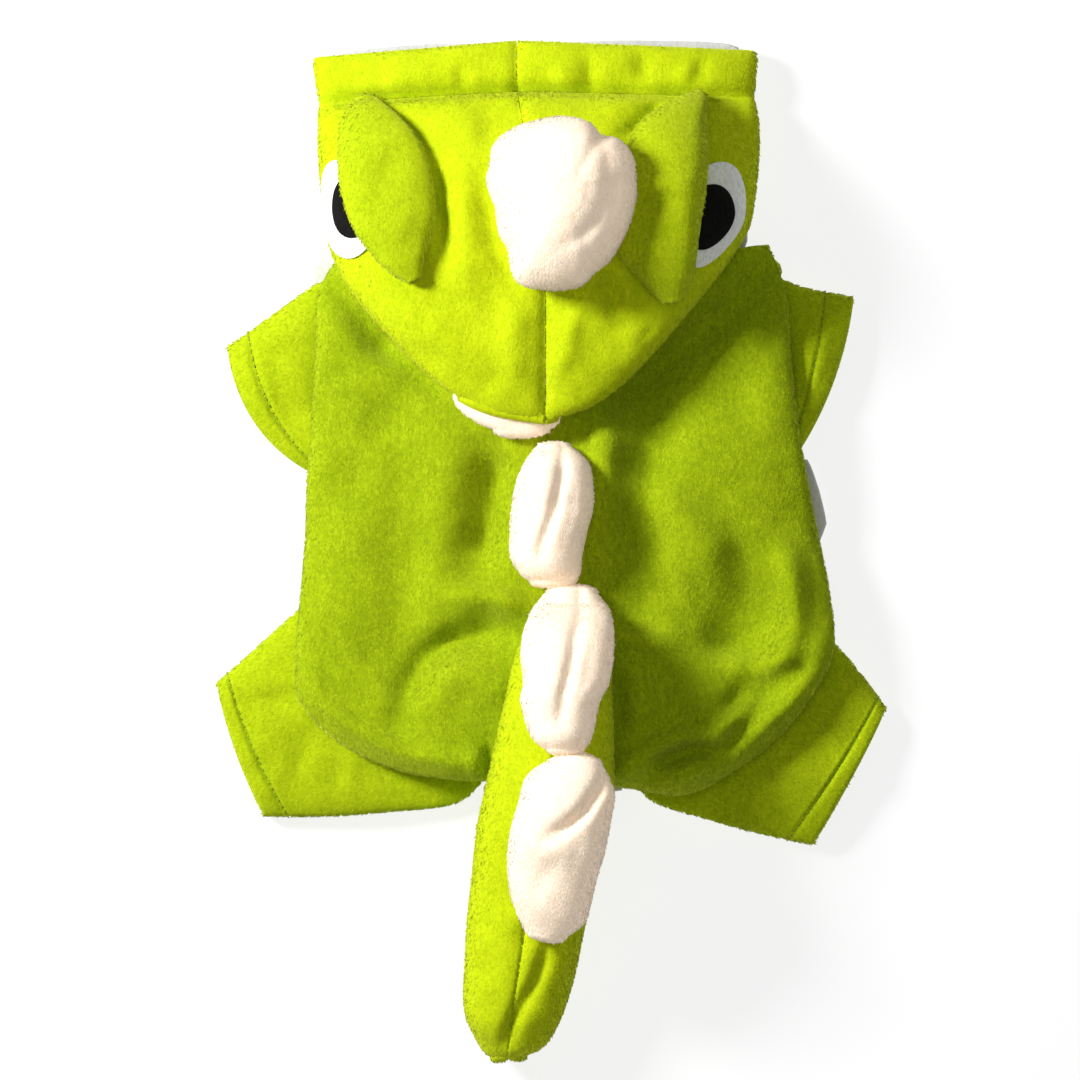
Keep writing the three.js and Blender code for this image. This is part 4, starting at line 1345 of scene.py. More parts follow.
BACK_LEFT = (
    (114, 22, -90.5, 121, 9, -84, 120, 2.6),
    (101, 27, -97.5, 106.5, 18.5, -86.5, 105, 13.2),
    (80, 31, -98.5, 84, 19, -86.5, 83, 13.4),
    (54.5, 31, -100, 54.5, 18.5, -86.5, 54.5, 13.2),
    (33.5, 31, -102, 30, 17, -90.5, 30, 11.5),
    (12.5, 31, -103, 4, 12, -91.5, 4, 2.8),
    (-8.5, 31, -105, -21, 18, -90.5, -17.5, 9),
    (-29.5, 31, -107, -46, 19.5, -89, -38, 13.4),
    (-48.5, 32, -104.5, -64, 20, -84, -49.5, 13.4),
    (-63, 32, -89, -80, 20, -72, -62, 13.4),
    (-72, 31, -65.5, -91.5, 19.5, -55, -72, 13.4),
    (-78, 29, -42.5, -95.5, 21, -35, -80.5, 13),
    (-82, 27, -19.5, -96.5, 16, -17.5, -85, 8),
    (-84, 26, 2, -97.5, 12, 2, -90, 2.8),
)
BACK_RIGHT = (
    (114, 22, 91, 127.5, 9, 86, 122.5, 2.6),
    (101, 27, 97.5, 109, 18.5, 87.5, 106.5, 13.2),
    (80, 31, 99.5, 86, 19, 88.5, 84, 13.4),
    (54.5, 31, 102.5, 56.5, 18.5, 89, 56.5, 13.2),
    (33.5, 31, 106.5, 31.5, 17, 95, 31.5, 11.5),
    (12.5, 31, 111, 8.5, 12, 99.5, 8.5, 2.8),
    (-8.5, 31, 116, -17, 18, 102, -15, 9),
    (-29.5, 31, 118, -38, 19.5, 100, -30, 13.4),
    (-48.5, 32, 113.5, -53, 20, 94.5, -42, 13.4),
    (-63, 32, 98, -74.5, 20, 81.5, -56.5, 13.4),
    (-72, 31, 78.5, -90.5, 19.5, 65, -69.5, 13.4),
    (-78, 29, 56, -102, 19, 44.5, -80.5, 13.2),
    (-82, 27, 29, -99, 16, 23, -85.5, 8),
    (-84, 26, 2, -97.5, 12, 2, -90, 2.8),
)
BACK_FOLDS = Folds((
    (-70, 92.5, 18, 9, 60, -4),
    (-63, 46, 26, 8, 88, -1.5),
    (-78, 0, 34, 16, 86, 2.5),
    (-51, -59, 24, 9, 48, 2),
    (93, 62, 30, 8, 86, 2),
    (80, -35, 23, 20, -62, -15),
    (-60, -16, 40, 19, 84, -7),
    (64, 72, 34, 18, 52, -7),
    (54, -62, 20, 9, 10, 2.5),
    (-86, 74, 12, 3.2, 20, -1.6),
    (-84, 62, 10, 3, -14, -1.4),
    (-88, -6, 12, 3.5, -24, -1.5),
    (-84, -28, 16, 3.6, -40, 1.5),
    (-74, -44, 14, 3.2, -52, -1.6),
    (-12, 62, 9, 3, 30, -1.2),
    (-42, 86, 13, 3.4, 20, 1.2),
    (14, 66, 9, 3, -30, -1.2),
    (20, -2, 9, 3.2, 34, -1.3),
    (80, 74, 12, 3.4, -12, -1.6),
    (88, 34, 12, 3.2, 12, 1.4),
    (50, -18, 13, 3.6, -64, -1.6),
    (98, -30, 10, 3.2, -38, -1.5),
), (
    Crease(((-102, -48), (-97, -62), (-84, -73.5), (-62, -85), (-42, -89), (-24, -90)), 5, 6.5),
    Crease(((113, -38), (109, -53), (95, -68), (76, -83), (56, -94), (34, -92)), 5, 6.5),
    Crease(((94, 122), (74, 99), (48, 80), (24, 60), (12, 48)), 8, -11.7),
    Crease(((-92, 112), (-74, 90), (-54, 72), (-36, 58)), 6, -7.8),
    Crease(((-23, 42), (-27, 12.5), (-31, -10)), 8, -10),
    Crease(((-40.5, 46), (-46, 12.5), (-50, -17), (-52, -38)), 9, 4.5),
    Crease(((-40, -18), (-24, -19), (-10.5, -24)), 5, 8),
    Crease((
        (-13, -37), (-26, -34), (-40.5, -37), (-53, -45.5), (-59.5, -59), (-63.5, -73),
    ), 6.5, -10),
    Crease(((-50, -54), (-42, -51.5), (-30, -54.5), (-18.5, -64)), 7.5, 5.5),
    Crease(((-76, 86), (-68, 84), (-63.5, 90.5)), 6, -5.2),
    Crease(((-79, 57.5), (-73, 52.5), (-67, 46)), 8, -3.9),
    Crease(((-84.5, 39), (-79.5, 25)), 8, -3.2),
    Crease(((20.5, 71.5), (22, 38), (23.5, 4)), 6, 5.2),
    Crease(((39.5, 84), (39.5, 38), (41.5, 4), (37, -21)), 10, -6.5),
    Crease(((38, 24), (54, 14), (66, 2), (70, -14)), 9, 7),
    Crease(((98, 2), (101, -14), (101, -32), (92, -50)), 6, 9),
    Crease(((68, -49), (89.5, -47), (107.5, -42)), 5, 5.9),
    Crease(((27.5, -33.5), (38, -38), (48.5, -40.5)), 4, 4.5),
    Crease(((94, -58), (80, -60.5), (70, -68)), 5, -5.9),
    Crease(((30, -91), (44.5, -81), (54, -77), (67.5, -77.5), (76, -69.5), (86.5, -59)), 4, 6.5),
    Crease(((39.5, -95.5), (49, -87), (59, -83), (71.5, -84), (84, -73)), 4, -7.5),
    Crease(((27, -49.5), (28, -63), (29, -79)), 5, -6.5),
    Crease(((-26.5, -80), (-25, -94.5)), 3, -3.9),
    Crease(((-34, -83), (-31.5, -94.5)), 3, 2.6),
))

HOOD_LEFT = (
    (191.5, 27, -97, 186.5, 12, -89.5, 186.5, 2.6),
    (184, 37, -97.5, 176.5, 14, -89, 176.5, 2.6),
    (170, 45, -97, 159.5, 16, -87, 159.5, 2.6),
    (151, 51, -94.5, 138.5, 18, -84.5, 140.5, 2.6),
    (132.5, 54, -91.5, 123.5, 23, -79.5, 126.5, 4),
    (113.5, 54, -84, 109, 30, -63.5, 123, 18),
    (98.5, 53, -70.5, 92.5, 34, -47, 119.5, 22),
    (88, 52, -56, 77.5, 37, -30, 117.5, 24),
    (80.5, 51, -42, 66, 39, -19.5, 116.5, 25),
    (75.5, 50, -25, 58, 41, -11, 115.5, 25),
    (73, 49, -2.5, 54, 42, -2.5, 114.5, 25),
)
HOOD_RIGHT = (
    (191.5, 27, 84.5, 189, 12, 78.5, 189, 2.6),
    (184, 37, 86.5, 179, 14, 78.5, 179, 2.6),
    (170, 45, 86.5, 164, 16, 77.5, 164, 2.6),
    (151, 51, 84.5, 145, 18, 76, 145.5, 2.6),
    (132.5, 54, 81, 132, 23, 71, 132, 4),
    (113.5, 54, 69, 114, 30, 54, 127.5, 18),
    (98.5, 53, 57.5, 100, 34, 37, 123.5, 22),
    (88, 52, 44, 84, 37, 22.5, 118.5, 24),
    (80.5, 51, 30.5, 70, 39, 12, 117, 25),
    (75.5, 50, 15.5, 59.5, 41, 4.5, 115.5, 25),
    (73, 49, -2.5, 54, 42, -2.5, 114.5, 25),
)
HOOD_FOLDS = Folds((
    (-72, 118, 26, 9, -58, 3),
    (-50, 92, 24, 8, -44, 3.5),
    (46, 92, 26, 8, 44, 3),
    (-60, 178, 12, 5, 20, -2),
    (-24, 186, 9, 3, 40, -1.2),
    (-84, 180, 8, 3, 60, -1.2),
    (66, 108, 10, 3, 52, -1.3),
), (
    Crease(((-47, 164), (-45, 140.5), (-42.5, 117.5)), 5, -4.5),
    Crease(((-39.5, 158.5), (-37, 121), (-32.5, 103.5)), 7, 3),
    Crease(((-29, 153.5), (-23.5, 127.5), (-14.5, 109)), 5, -4.5),
    Crease(((20.5, 115), (25.5, 105), (28.5, 96)), 4.5, -5),
    Crease(((29.5, 171), (41.5, 180.5), (47, 187.5)), 3.5, -4.5),
    Crease(((20.5, 184), (37, 187.5)), 3.5, 3),
    Crease(((-30, 168), (-23.5, 177), (-13, 183)), 5, -3.5),
    Crease(((-62, 105), (-56, 101.5), (-51, 96)), 3.5, -2),
    Crease(((37, 92.5), (43.5, 86), (45.5, 80)), 5, -2.5),
    Crease(((10, 101), (7, 86), (3.5, 73.5)), 5, 2.5),
    Crease(((-15.5, 101), (-16.5, 84), (-13, 71.5)), 6, 2.5),
    Crease(((77, 187), (80, 176.5), (81.5, 166)), 5, -2.5),
))

BRIM_LEFT = (
    (213, 19, -99, 206, 8, -92, 206, 2.6),
    (210.5, 23, -99.5, 202.5, 10, -92, 202.5, 2.6),
    (202.5, 26, -98.5, 195.5, 11, -91, 195.5, 2.6),
    (192, 25, -97, 187, 11, -89.5, 187, 2.6),
)
BRIM_RIGHT = (
    (213, 19, 85, 209, 8, 78.5, 209, 2.6),
    (210.5, 23, 86, 206, 10, 78.5, 206, 2.6),
    (202.5, 26, 85.5, 198, 11, 78.5, 198, 2.6),
    (192, 25, 84.5, 189.5, 11, 78.5, 189.5, 2.6),
)
BRIM_FOLDS = Folds((
    (37, 199.5, 16, 5, 8, -1.5),
    (-63.5, 197.5, 20, 5, 6, 1.5),
    (62, 201, 7, 3, 70, -1.3),
), (
    Crease(((15.5, 205), (16, 193)), 3, -3),
    Crease(((3.5, 201.5), (6, 193)), 3.5, 2),
    Crease(((-37.5, 201.5), (-36, 192.5)), 3, -2),
    Crease(((37, 206), (39, 197.5)), 3, -2),
    Crease(((58, 203.5), (54, 195.5)), 3, 1.8),
    Crease(((-68, 205), (-72, 193)), 4, -1.6),
))


@dataclass
class Tube:
    """A sleeve or leg: one cut piece rolled to a short tube that lies flat, with a turned hem."""

    node: str
    rows: tuple[tuple[float, ...], ...]
    folds: Folds
    nap: Nap
    cut: tuple[float, float]
    area: float
    count: int = 30
    sides: int = 76
    hem: float = 9.5
    hem_rise: float = 0.9
    stitch_at: float = 8.2
    stitch_dip: float = 1.9
    rumple: float = 0.6
    end_round: float = 2.35
    top_round: float = 2.7
    middle: float = 0.42
    sink: float = 1.5
    end_steps: tuple[float, ...] = (
        11, 10.3, 9.8, 9.3, 8.8, 8.2, 7.6, 7, 6, 4.5, 3, 1.8, 0.9, 0.35, 0,
    )
    grid: np.ndarray = field(default_factory=lambda: np.zeros(0), repr=False)
    depths: np.ndarray = field(default_factory=lambda: np.zeros(0), repr=False)

    def lay(self) -> Form:
        """Lays the tube on the surface.

        Returns:
            The tube's form.
        """
        first, last = np.array(self.rows[0]), np.array(self.rows[-1])
        start = (first[:2] + first[2:4]) / 2
        end = (last[:2] + last[2:4]) / 2
        length = float(np.linalg.norm(end - start))
        run = (end - start) / length
        rough = np.linspace(0, 1 - (self.hem + 3) / length, self.count)
        close = 1 - np.array(self.end_steps) / length
        shares = np.concatenate([rough, close])
        left = ((1 - shares) * length)[:, None]
        row = Table(TUBE_COLUMNS, self.rows).at(shares[:, None])
        angle = (2 * np.pi * np.arange(self.sides) / self.sides)[None, :]
        along = signed_power(np.cos(angle), 2 / self.end_round)
        up = signed_power(np.sin(angle), 2 / self.top_round)
        step = 1 / (1 + np.exp((left - self.hem) / 0.45))
        rise = self.hem_rise * step
        rise = rise - self.stitch_dip * np.exp(-(((left - self.stitch_at) / 0.9) ** 2))
        rise = rise - 1.3 * np.maximum(1 - left / 2.2, 0) ** 2
        middle = row["height"] * self.middle
        part = (1 - along) / 2
        bow = row["bow"] * (1 - along**2)
        x = row["upper_x"] + (row["lower_x"] - row["upper_x"]) * part + run[0] * bow
        y = row["upper_y"] + (row["lower_y"] - row["upper_y"]) * part + run[1] * bow
        flat = np.stack([x, y, np.zeros_like(x)], axis=-1)
        depth = self.folds.height(x, y) + crumple(flat, 13.0, self.rumple * 1.8, 1.7)
        top = middle + (row["height"] - middle + rise) * up + depth * np.maximum(up, 0) ** 0.5
        bottom = middle * (1 + self.sink * up)
        z = np.maximum(np.where(up > 0, top, bottom), 0)
        self.grid = np.stack([x, y, z], axis=-1)
        self.depths = left[:, 0]
        way = (float(run[0]), float(run[1]) - 0.35, 0.0)
        return cloth_form(self.grid, True, way)

    def hem_path(self) -> np.ndarray:
        """The line of the hem's stitches, over the upper side of the tube."""
        ring = int(np.argmin(np.abs(self.depths - self.stitch_at)))
        normals = grid_normals(self.grid, True)
        line = self.grid[ring] + normals[ring] * 0.25
        upper = line[: self.sides // 2 + 1]
        return upper[2:-2]


SLEEVE_LEFT = (
    (-90, 111.5, -89, 49.5, 12.4, 0),
    (-98, 111.5, -91.5, 41, 12.8, 2),
    (-112.5, 101.5, -92, 34.5, 15.5, 4),
    (-126.5, 91.5, -94, 32, 14.5, 7),
    (-135.5, 85.5, -96.5, 31, 12, 9),
)
SLEEVE_RIGHT = (
    (93.5, 115, 92, 49.5, 12.4, 0),
    (100, 112, 94.5, 43.5, 12.8, 1),
    (109.5, 109, 97.5, 42, 15.5, 2),
    (118, 107.5, 100, 41, 14.5, 3),
    (126, 106, 102.5, 40.5, 12, 4),
)
LEG_LEFT = (
    (-98, -20, -27.5, -95, 12.4, 0),
    (-105.5, -25, -40, -106, 12.8, 1),
    (-117.5, -35.5, -68, -109.5, 15.5, 1),
    (-129, -46, -95, -111.5, 14.5, 2),
    (-140, -55.5, -120, -111.5, 12, 2),
)
LEG_RIGHT = (
    (107, -26, 33, -93, 12.4, 0),
    (117.5, -38, 42, -105, 12.8, 1),
    (125.5, -47, 64.5, -112.5, 15.5, 1),
    (133, -56.5, 86.5, -118.5, 14.5, 2),
    (140, -66, 109, -123.5, 12, 1),
)
SLEEVE_FOLDS = Folds((
    (-108, 84, 12, 3.6, -30, -1.4),
    (-104, 58, 11, 3.4, 16, -1.3),
    (-118, 68, 10, 3.2, -70, 1.1),
    (108, 92, 10, 3.2, 10, -1.3),
    (106, 66, 10, 3.4, -22, -1.3),
    (112, 78, 9, 3, 80, 1),
))
LEG_FOLDS = Folds((
    (-114, -62, 16, 3.8, 8, -1.8),
    (-104, -86, 14, 3.6, 68, -1.7),
    (-84, -96, 13, 3.4, 84, 1.3),
    (-122, -84, 12, 3.2, 40, 1.2),
    (112, -72, 16, 3.8, -24, -1.8),
    (94, -98, 14, 3.6, -70, -1.6),
    (78, -104, 12, 3.4, -84, 1.3),
    (122, -88, 11, 3.2, -44, 1.2),
))


@dataclass
class Roll:
    """A stuffed roll along a table of sections, sewn shut at its ends."""

    node: str
    rows: tuple[tuple[float, ...], ...]
    count: int
    sides: int
    fill: float
    part: Side | None = None
    free: bool = False
    folds: Folds = Folds(())
    rumple: float = 0.5
    cap_steps: int = 6
    cap_reach: float = 0.16
    roundness: float = 2.2
    nap: Nap = Nap.TO_TAIL

    def lay(self, rest: Rest) -> Form:
        """Lays the roll over what is below.

        Args:
            rest: How high things lie at each place.

        Returns:
            The roll's form.
        """
        shares = np.linspace(0, 1, self.count)
        columns = ROLL_COLUMNS[: len(self.rows[0])]
        table = Table(columns, self.rows)
        row = table.at(shares[:, None])
        before = table.at(np.maximum(shares - 0.04, 0)[:, None])
        after = table.at(np.minimum(shares + 0.04, 1)[:, None])
        run_x, run_y = after["x"] - before["x"], after["y"] - before["y"]
        size = np.hypot(run_x, run_y)
        run_x, run_y = run_x / size, run_y / size
        if self.part is None:
            angle = 2 * np.pi * np.arange(self.sides) / self.sides
        else:
            half = np.pi * np.arange(self.sides + 1) / self.sides
            angle = half + (np.pi / 2 if self.part is Side.LEFT else -np.pi / 2)
        angle = angle[None, :]
        across = signed_power(np.cos(angle), 2 / self.roundness)
        up = signed_power(np.sin(angle), 2 / self.roundness)
        shift = 0 if self.part is None else self.part.value * SEAM_GAP / 2
        wide = np.where(across < 0, row["left"], row["right"]) * across + shift
        base = 0 if self.free else rest(row["x"], row["y"])
        under = row["under"] if self.free else row["z"]
        centre = np.stack([row["x"], row["y"], base + row["z"]], axis=-1)
        x = row["x"] - run_y * wide
        y = row["y"] + run_x * wide
        z = base + row["z"] + np.where(up > 0, row["over"], under) * up
        ends = np.sin(np.pi * np.clip(shares, 0.02, 0.98))[:, None]
        if self.part is not None:
            seam = np.exp(-((wide / 2.4) ** 2)) * ends**0.5
            z = z - np.where(up > 0, 1.2, -1.0) * seam
        rings = np.stack([x, y, z], axis=-1)
        lift = self.folds.height(x, y) + crumple(rings, 12.0, self.rumple * 1.6, 5.3)
        rings[..., 2] += lift * np.maximum(up, 0) ** 0.5
        caps = []
        for ring, near in ((0, 1), (-1, -2)):
            middle = rings[ring].mean(axis=0)
            away = unit((centre[ring] - centre[near]).reshape(3) * (1, 1, 0))
            reach = self.cap_reach * float(row["left"][ring, 0] + row["right"][ring, 0])
            turns = np.pi / 2 * np.arange(1, self.cap_steps + 1) / (self.cap_steps + 0.35)
            caps.append(np.array([
                middle + (rings[ring] - middle) * math.cos(turn) + away * reach * math.sin(turn)
                for turn in turns
            ]))
        whole = np.concatenate([caps[0][::-1], rings, caps[1]])
        floor = rest(whole[..., 0], whole[..., 1])
        whole[..., 2] = np.maximum(whole[..., 2], floor)
        return capped_form(whole, self.nap.value)


TAIL_ROWS = (
    (4.5, -26, 32, 5, 5, 4, 4),
    (4, -32, 35, 13, 13, 10, 8),
    (3.5, -46, 37, 18.5, 20, 17, 12),
    (2.5, -63, 38, 21.5, 22.5, 19, 12),
    (1, -82, 37.5, 24, 24.5, 21, 16),
    (-1, -101, 34, 26, 26.5, 23, 22),
    (-5, -119.5, 29, 26, 26, 23, 24),
    (-8, -138.5, 23.5, 25, 25, 23, 25),
    (-11, -157.5, 21.5, 24, 24, 22, 25),
    (-13.5, -174.5, 20.5, 22.5, 23, 21, 24),
    (-16, -191, 19, 20.5, 20.5, 19.5, 22),
    (-17, -201, 17.5, 17, 17, 16.5, 18.5),
    (-18, -208, 16, 12, 12, 12, 13),
    (-18, -211.5, 15, 7.5, 7.5, 8, 9),
)
SPIKE_ROWS = {
    "spike_1": (
        (-18.5, 82, 3, 18, 18, 5),
        (-18.5, 75, 3, 22, 22, 6),
        (-18.5, 68, 3, 22, 22, 7),
        (-18.5, 62, 3, 22, 22, 7.5),
        (-18.5, 57, 3, 18, 22, 7),
        (-18.5, 53, 3, 12, 21.5, 6.5),
        (-18.5, 50.5, 3, 6, 18, 6),
    ),
    "spike_2": (
        (0, 43, 3, 6, 8, 8),
        (0, 36.5, 4, 11, 15, 15),
        (0, 28, 4, 14.5, 17, 18),
        (0, 18, 4, 16.3, 17.2, 19.5),
        (0, 8, 4, 17, 14.5, 20),
        (0, -2, 4, 17, 12.5, 18),
        (0, -9, 4, 13.5, 11.8, 14),
        (0, -12.5, 4, 9.5, 10.5, 9),
    ),
    "spike_3": (
        (6, -17.5, 4, 8, 13, 9),
        (6, -27, 4, 15, 18.5, 16),
        (6, -40.5, 4, 18.4, 19.5, 19),
        (6, -54.5, 4, 17.5, 17.5, 19),
        (6, -63, 4, 18.5, 13.5, 18),
        (6, -76.5, 4, 14.5, 10.5, 14),
        (6, -82, 4, 8.5, 7.5, 9),
    ),
    "spike_4": (
        (12, -87, 4, 10, 9, 9),
        (10, -97, 4, 20, 16, 16),
        (7.5, -109, 4, 21.5, 17, 20),
        (5, -122, 4, 22.5, 17, 21.5),
        (2.5, -134, 4, 21, 16, 20),
        (0, -147, 4, 17, 15.5, 17),
        (-1.5, -153, 4, 13.5, 13.5, 14),
        (-3, -159.5, 4, 8, 8.5, 9),
    ),
}
SPIKE_GROOVES = {
    "spike_1": (),
    "spike_2": (
        Crease(((5, 44), (4, 30), (1, 16), (-3, 5), (-5, -3)), 2.5, -3.6),
        Crease(((9, 30), (8, 14), (3, 2)), 3.2, -1),
    ),
    "spike_3": (
        Crease(((12, -16), (12, -27), (10, -35), (8, -47), (5, -59), (3.5, -70)), 2.6, -3.8),
        Crease(((16, -36), (14, -52), (8, -64)), 3.2, -1),
    ),
    "spike_4": (
        Crease(((23, -91), (19.5, -98.5), (13.5, -107.5), (6, -114), (-2.5, -119)), 2.8, -5),
        Crease(((4, -126), (-3, -134), (-8, -146)), 3.4, -1.2),
        Crease(((12, -118), (9, -130)), 3.4, -0.9),
    ),
}
TAIL_FOLDS = Folds((), (
    Crease(((-1, -160), (-6, -178), (-13, -190), (-21, -207)), 2.8, -3.2),
    Crease(((-10, -164), (-14, -180), (-22, -196)), 4.5, 0.8),
    Crease(((6, -170), (0, -186), (-9, -200)), 4.5, 0.7),
))
EAR_ROWS = {
    "ear_left": (
        (-79.5, 188.5, 3, 4, 5.5, 4),
        (-77, 179, 3, 12, 12, 6),
        (-72, 164.5, 3.5, 17.5, 18, 7.5),
        (-68.5, 151.5, 4, 19, 19, 8),
        (-65.5, 137, 4, 17, 17.5, 7.5),
        (-61.5, 122.5, 4, 10.5, 10.5, 6.5),
        (-57, 112.5, 3, 3.5, 3.5, 4),
    ),
    "ear_right": (
        (62, 190.5, 4, 3, 3, 4),
        (58, 180, 6, 13, 6.5, 8),
        (54, 168, 8, 21, 11, 12),
        (51, 152, 9, 21, 13, 14),
        (49, 137, 9, 22, 12.5, 14),
        (48.5, 124.5, 8, 21, 11.5, 12),
        (49, 113, 6.5, 12.5, 9.5, 8),
        (50, 104, 4, 5, 5, 4),
    ),
}
EAR_FOLDS = {
    "ear_left": Folds(((-66, 160, 12, 5, 70, -1.4), (-62, 134, 10, 4, 60, 1.2))),
    "ear_right": Folds(
        ((40, 136, 16, 12, 0, -2.5), (62, 128, 20, 5, 80, 1.5)),
        (
            Crease(((32, 150), (46, 152), (60, 151)), 4, 2.2),
            Crease(((34, 143), (48, 144)), 4, -2.2),
        ),
    ),
}


@dataclass
class Horn:
    """The stuffed horn on the crown: slices that swell over its sewn base to a blunt end."""

    x: float = 3.5
    y: float = 143.5
    height: float = 42
    lean_x: float = 2
    lean_y: float = 2
    notch: float = 2.6
    notch_at: float = 59
    notch_spread: float = 7
    grooves: Folds = Folds((), (
        Crease((
            (20, 173), (22.5, 164), (23.5, 153.5), (22.5, 144), (18.5, 136), (12, 129), (4, 125),
        ), 2.8, -2),
        Crease(((25.5, 168), (27.5, 155.5), (26, 142), (23, 133.5)), 2.4, -1.2),
    ))
    sides: int = 96
    slices: int = 46
    outline: tuple[tuple[float, float], ...] = (
        (11, 31), (38, 35), (62, 34.5), (88, 34.5), (104, 35), (122, 36), (138, 36.5), (156, 32.5),
        (187, 27), (218, 29), (244, 37.5), (262, 37), (279, 36), (300, 32), (329, 29.5), (353, 30),
    )
    widths: tuple[tuple[float, float], ...] = (
        (0, 0.3), (0, 0.62), (0, 0.9), (0.14, 0.98), (0.32, 1), (0.5, 0.95), (0.67, 0.84),
        (0.81, 0.67), (0.91, 0.46), (0.98, 0.22),
    )

    def reach(self, degrees: np.ndarray) -> np.ndarray:
        """Reach of the outline from its middle at some angles.

        Args:
            degrees: Angles from +X.

        Returns:
            The reaches.
        """
        rows = list(self.outline) + [(deg + 360, reach) for deg, reach in self.outline]
        found = []
        for angle in degrees:
            at = angle + 360 if angle < rows[0][0] else angle
            k = next(i for i, row in enumerate(rows) if row[0] > at)
            (low, a), (high, b) = rows[k - 1], rows[k]
            part = (1 - math.cos(math.pi * (at - low) / (high - low))) / 2
            found.append(a + part * (b - a))
        return np.array(found)

    def lay(self, rest: Rest) -> Form:
        """Sets the horn on the crown.

        Args:
            rest: How high the hood lies at each place.

        Returns:
            The horn's form.
        """
        base = float(rest(np.array([self.x]), np.array([self.y]))[0])
        degrees = 360 * np.arange(self.sides) / self.sides
        reach = self.reach(degrees)
        near = ((degrees - self.notch_at + 540) % 360 - 180) / self.notch_spread
        row = Table(("at", "width"), self.widths).at(np.linspace(0, 1, self.slices)[:, None])
        at = np.maximum(row["at"], 0)
        dent = self.notch * np.exp(-(near**2))[None, :] * np.minimum(at / 0.14, 1)
        distance = (reach[None, :] - dent) * row["width"]
        angle = np.radians(degrees)[None, :]
        x = self.x + self.lean_x * at + distance * np.cos(angle)
        y = self.y + self.lean_y * at + distance * np.sin(angle)
        z = np.where(at > 0.004, base + self.height * at, 0) + np.zeros_like(x)
        rings = np.stack([x, y, z], axis=-1)
        swell = crumple(rings, 18.0, 1.0, 9.1)
        rings[..., :2] += (np.stack([np.cos(angle) * swell, np.sin(angle) * swell], axis=-1)
                           * np.minimum(at / 0.3, 1)[..., None])
        rings[..., 2] += self.grooves.height(rings[..., 0], rings[..., 1]) * np.minimum(at / 0.5, 1)
        rings[..., 2] = np.maximum(rings[..., 2], rest(rings[..., 0], rings[..., 1]))
        return capped_form(rings, (0.0, -1.0, 0.4))


@dataclass
class FlatPanel:
    """A panel that lies flat on the surface, inside an outline."""

    node: str
    outline: tuple[tuple[float, float], ...]
    cut: tuple[float, float]
    area: float
    smooth_steps: int = 4
    bend: float = 0.35
    edge: tuple[tuple[float, float], ...] = (
        (-1.2, 0), (-0.35, 0.3), (0, 1.0), (-0.35, 1.7), (-1.2, 2.0),
    )

    def lay(self) -> Form:
        """Lays the panel.

        Returns:
            The panel's form.
        """
        corners = np.array(self.outline, float)
        count = len(corners)
        line = []
        for k in range(count):
            a, b, c, d = (corners[(k + step) % count] for step in (-1, 0, 1, 2))
            for part in np.arange(self.smooth_steps) / self.smooth_steps:
                straight = b + (c - b) * part
                line.append(curve(a, b, c, d, part) * self.bend + straight * (1 - self.bend))
        edge = np.array(line)
        along = unit(np.roll(edge, -1, axis=0) - np.roll(edge, 1, axis=0))
        out = np.stack([along[:, 1], -along[:, 0]], axis=1)
        turning = np.cross(edge, np.roll(edge, -1, axis=0)).sum()
        out = out * np.sign(turning)
        rings = []
        for inset, height in self.edge:
            rings.append(np.column_stack([edge + out * inset, np.full(len(edge), height)]))
        grid = np.array(rings)
        faces = grid_faces(len(rings), len(edge), True)
        size = len(edge)
        top = (len(rings) - 1) * size
        flat = tessellate_polygon([[(x, y, 0.0) for x, y in edge + out * self.edge[0][0]]])
        faces += [tuple(reversed(face)) for face in flat]
        faces += [tuple(top + k for k in face) for face in flat]
        points = grid.reshape(-1, 3)
        nothing = np.zeros(len(points))
        lying = np.tile((0.0, -1.0, 0.0), (len(points), 1))
        form = Form(points, [tuple(map(int, face)) for face in faces], nothing, lying)
        return self.consistent(form)

    def consistent(self, form: Form) -> Form:
        """The form with all its faces turned the same way, out.

        Args:
            form: A flat panel, its rings first and then its two flat sides.

        Returns:
            The same form.
        """
        points = form.points
        levels = len(self.edge)
        size = len(points) // levels
        widest = (levels // 2) * size
        middle_height = self.edge[levels // 2][1]
        fixed = []
        for number, face in enumerate(form.faces):
            a, b, c = (points[k] for k in face[:3])
            normal = np.cross(b - a, c - a)
            if number < (levels - 1) * size:
                k = face[0] % size
                out = points[widest + k] - points[k]
                out[2] = (points[list(face)].mean(axis=0)[2] - middle_height) * 0.2
                outward = np.dot(normal, out) > 0
            else:
                outward = (normal[2] > 0) == (a[2] > middle_height)
            fixed.append(face if outward else face[::-1])
        form.faces = fixed
        return form


THROAT_OUTLINE = (
    (-92, 207.5), (-79.5, 210), (-51, 212.5), (-13, 212.5), (29, 214), (62.5, 213.5), (78.5, 211),
    (81.5, 180.5), (81, 151), (80, 123.5), (-5, 122), (-84, 122), (-88, 140.5), (-92, 176.5),
)
BELLY_OUTLINE = (
    (-96.5, 121), (-5, 121.5), (87.5, 123), (91.5, 117), (91, 84), (91.5, 39.5), (107.5, 38),
    (112.5, 25), (115.5, 11), (109.5, -4), (104.5, -22.5), (92, -38), (62.5, -63), (31.5, -90.5),
    (29.5, -101), (2, -103.5), (-28.5, -101.5), (-26.5, -93), (-55, -62), (-80.5, -35.5),
    (-96.5, -18.5), (-97, -4), (-96.5, 23.5), (-86.5, 27), (-89, 50.5), (-89.5, 84), (-89, 109),
    (-90, 111), (-99, 111), (-100, 117),
)


@dataclass(frozen=True)
class Oval:
    """A felt oval on a panel, as shares of the way along its sections and across them."""

    along: float
    across: float
    long: float
    wide: float


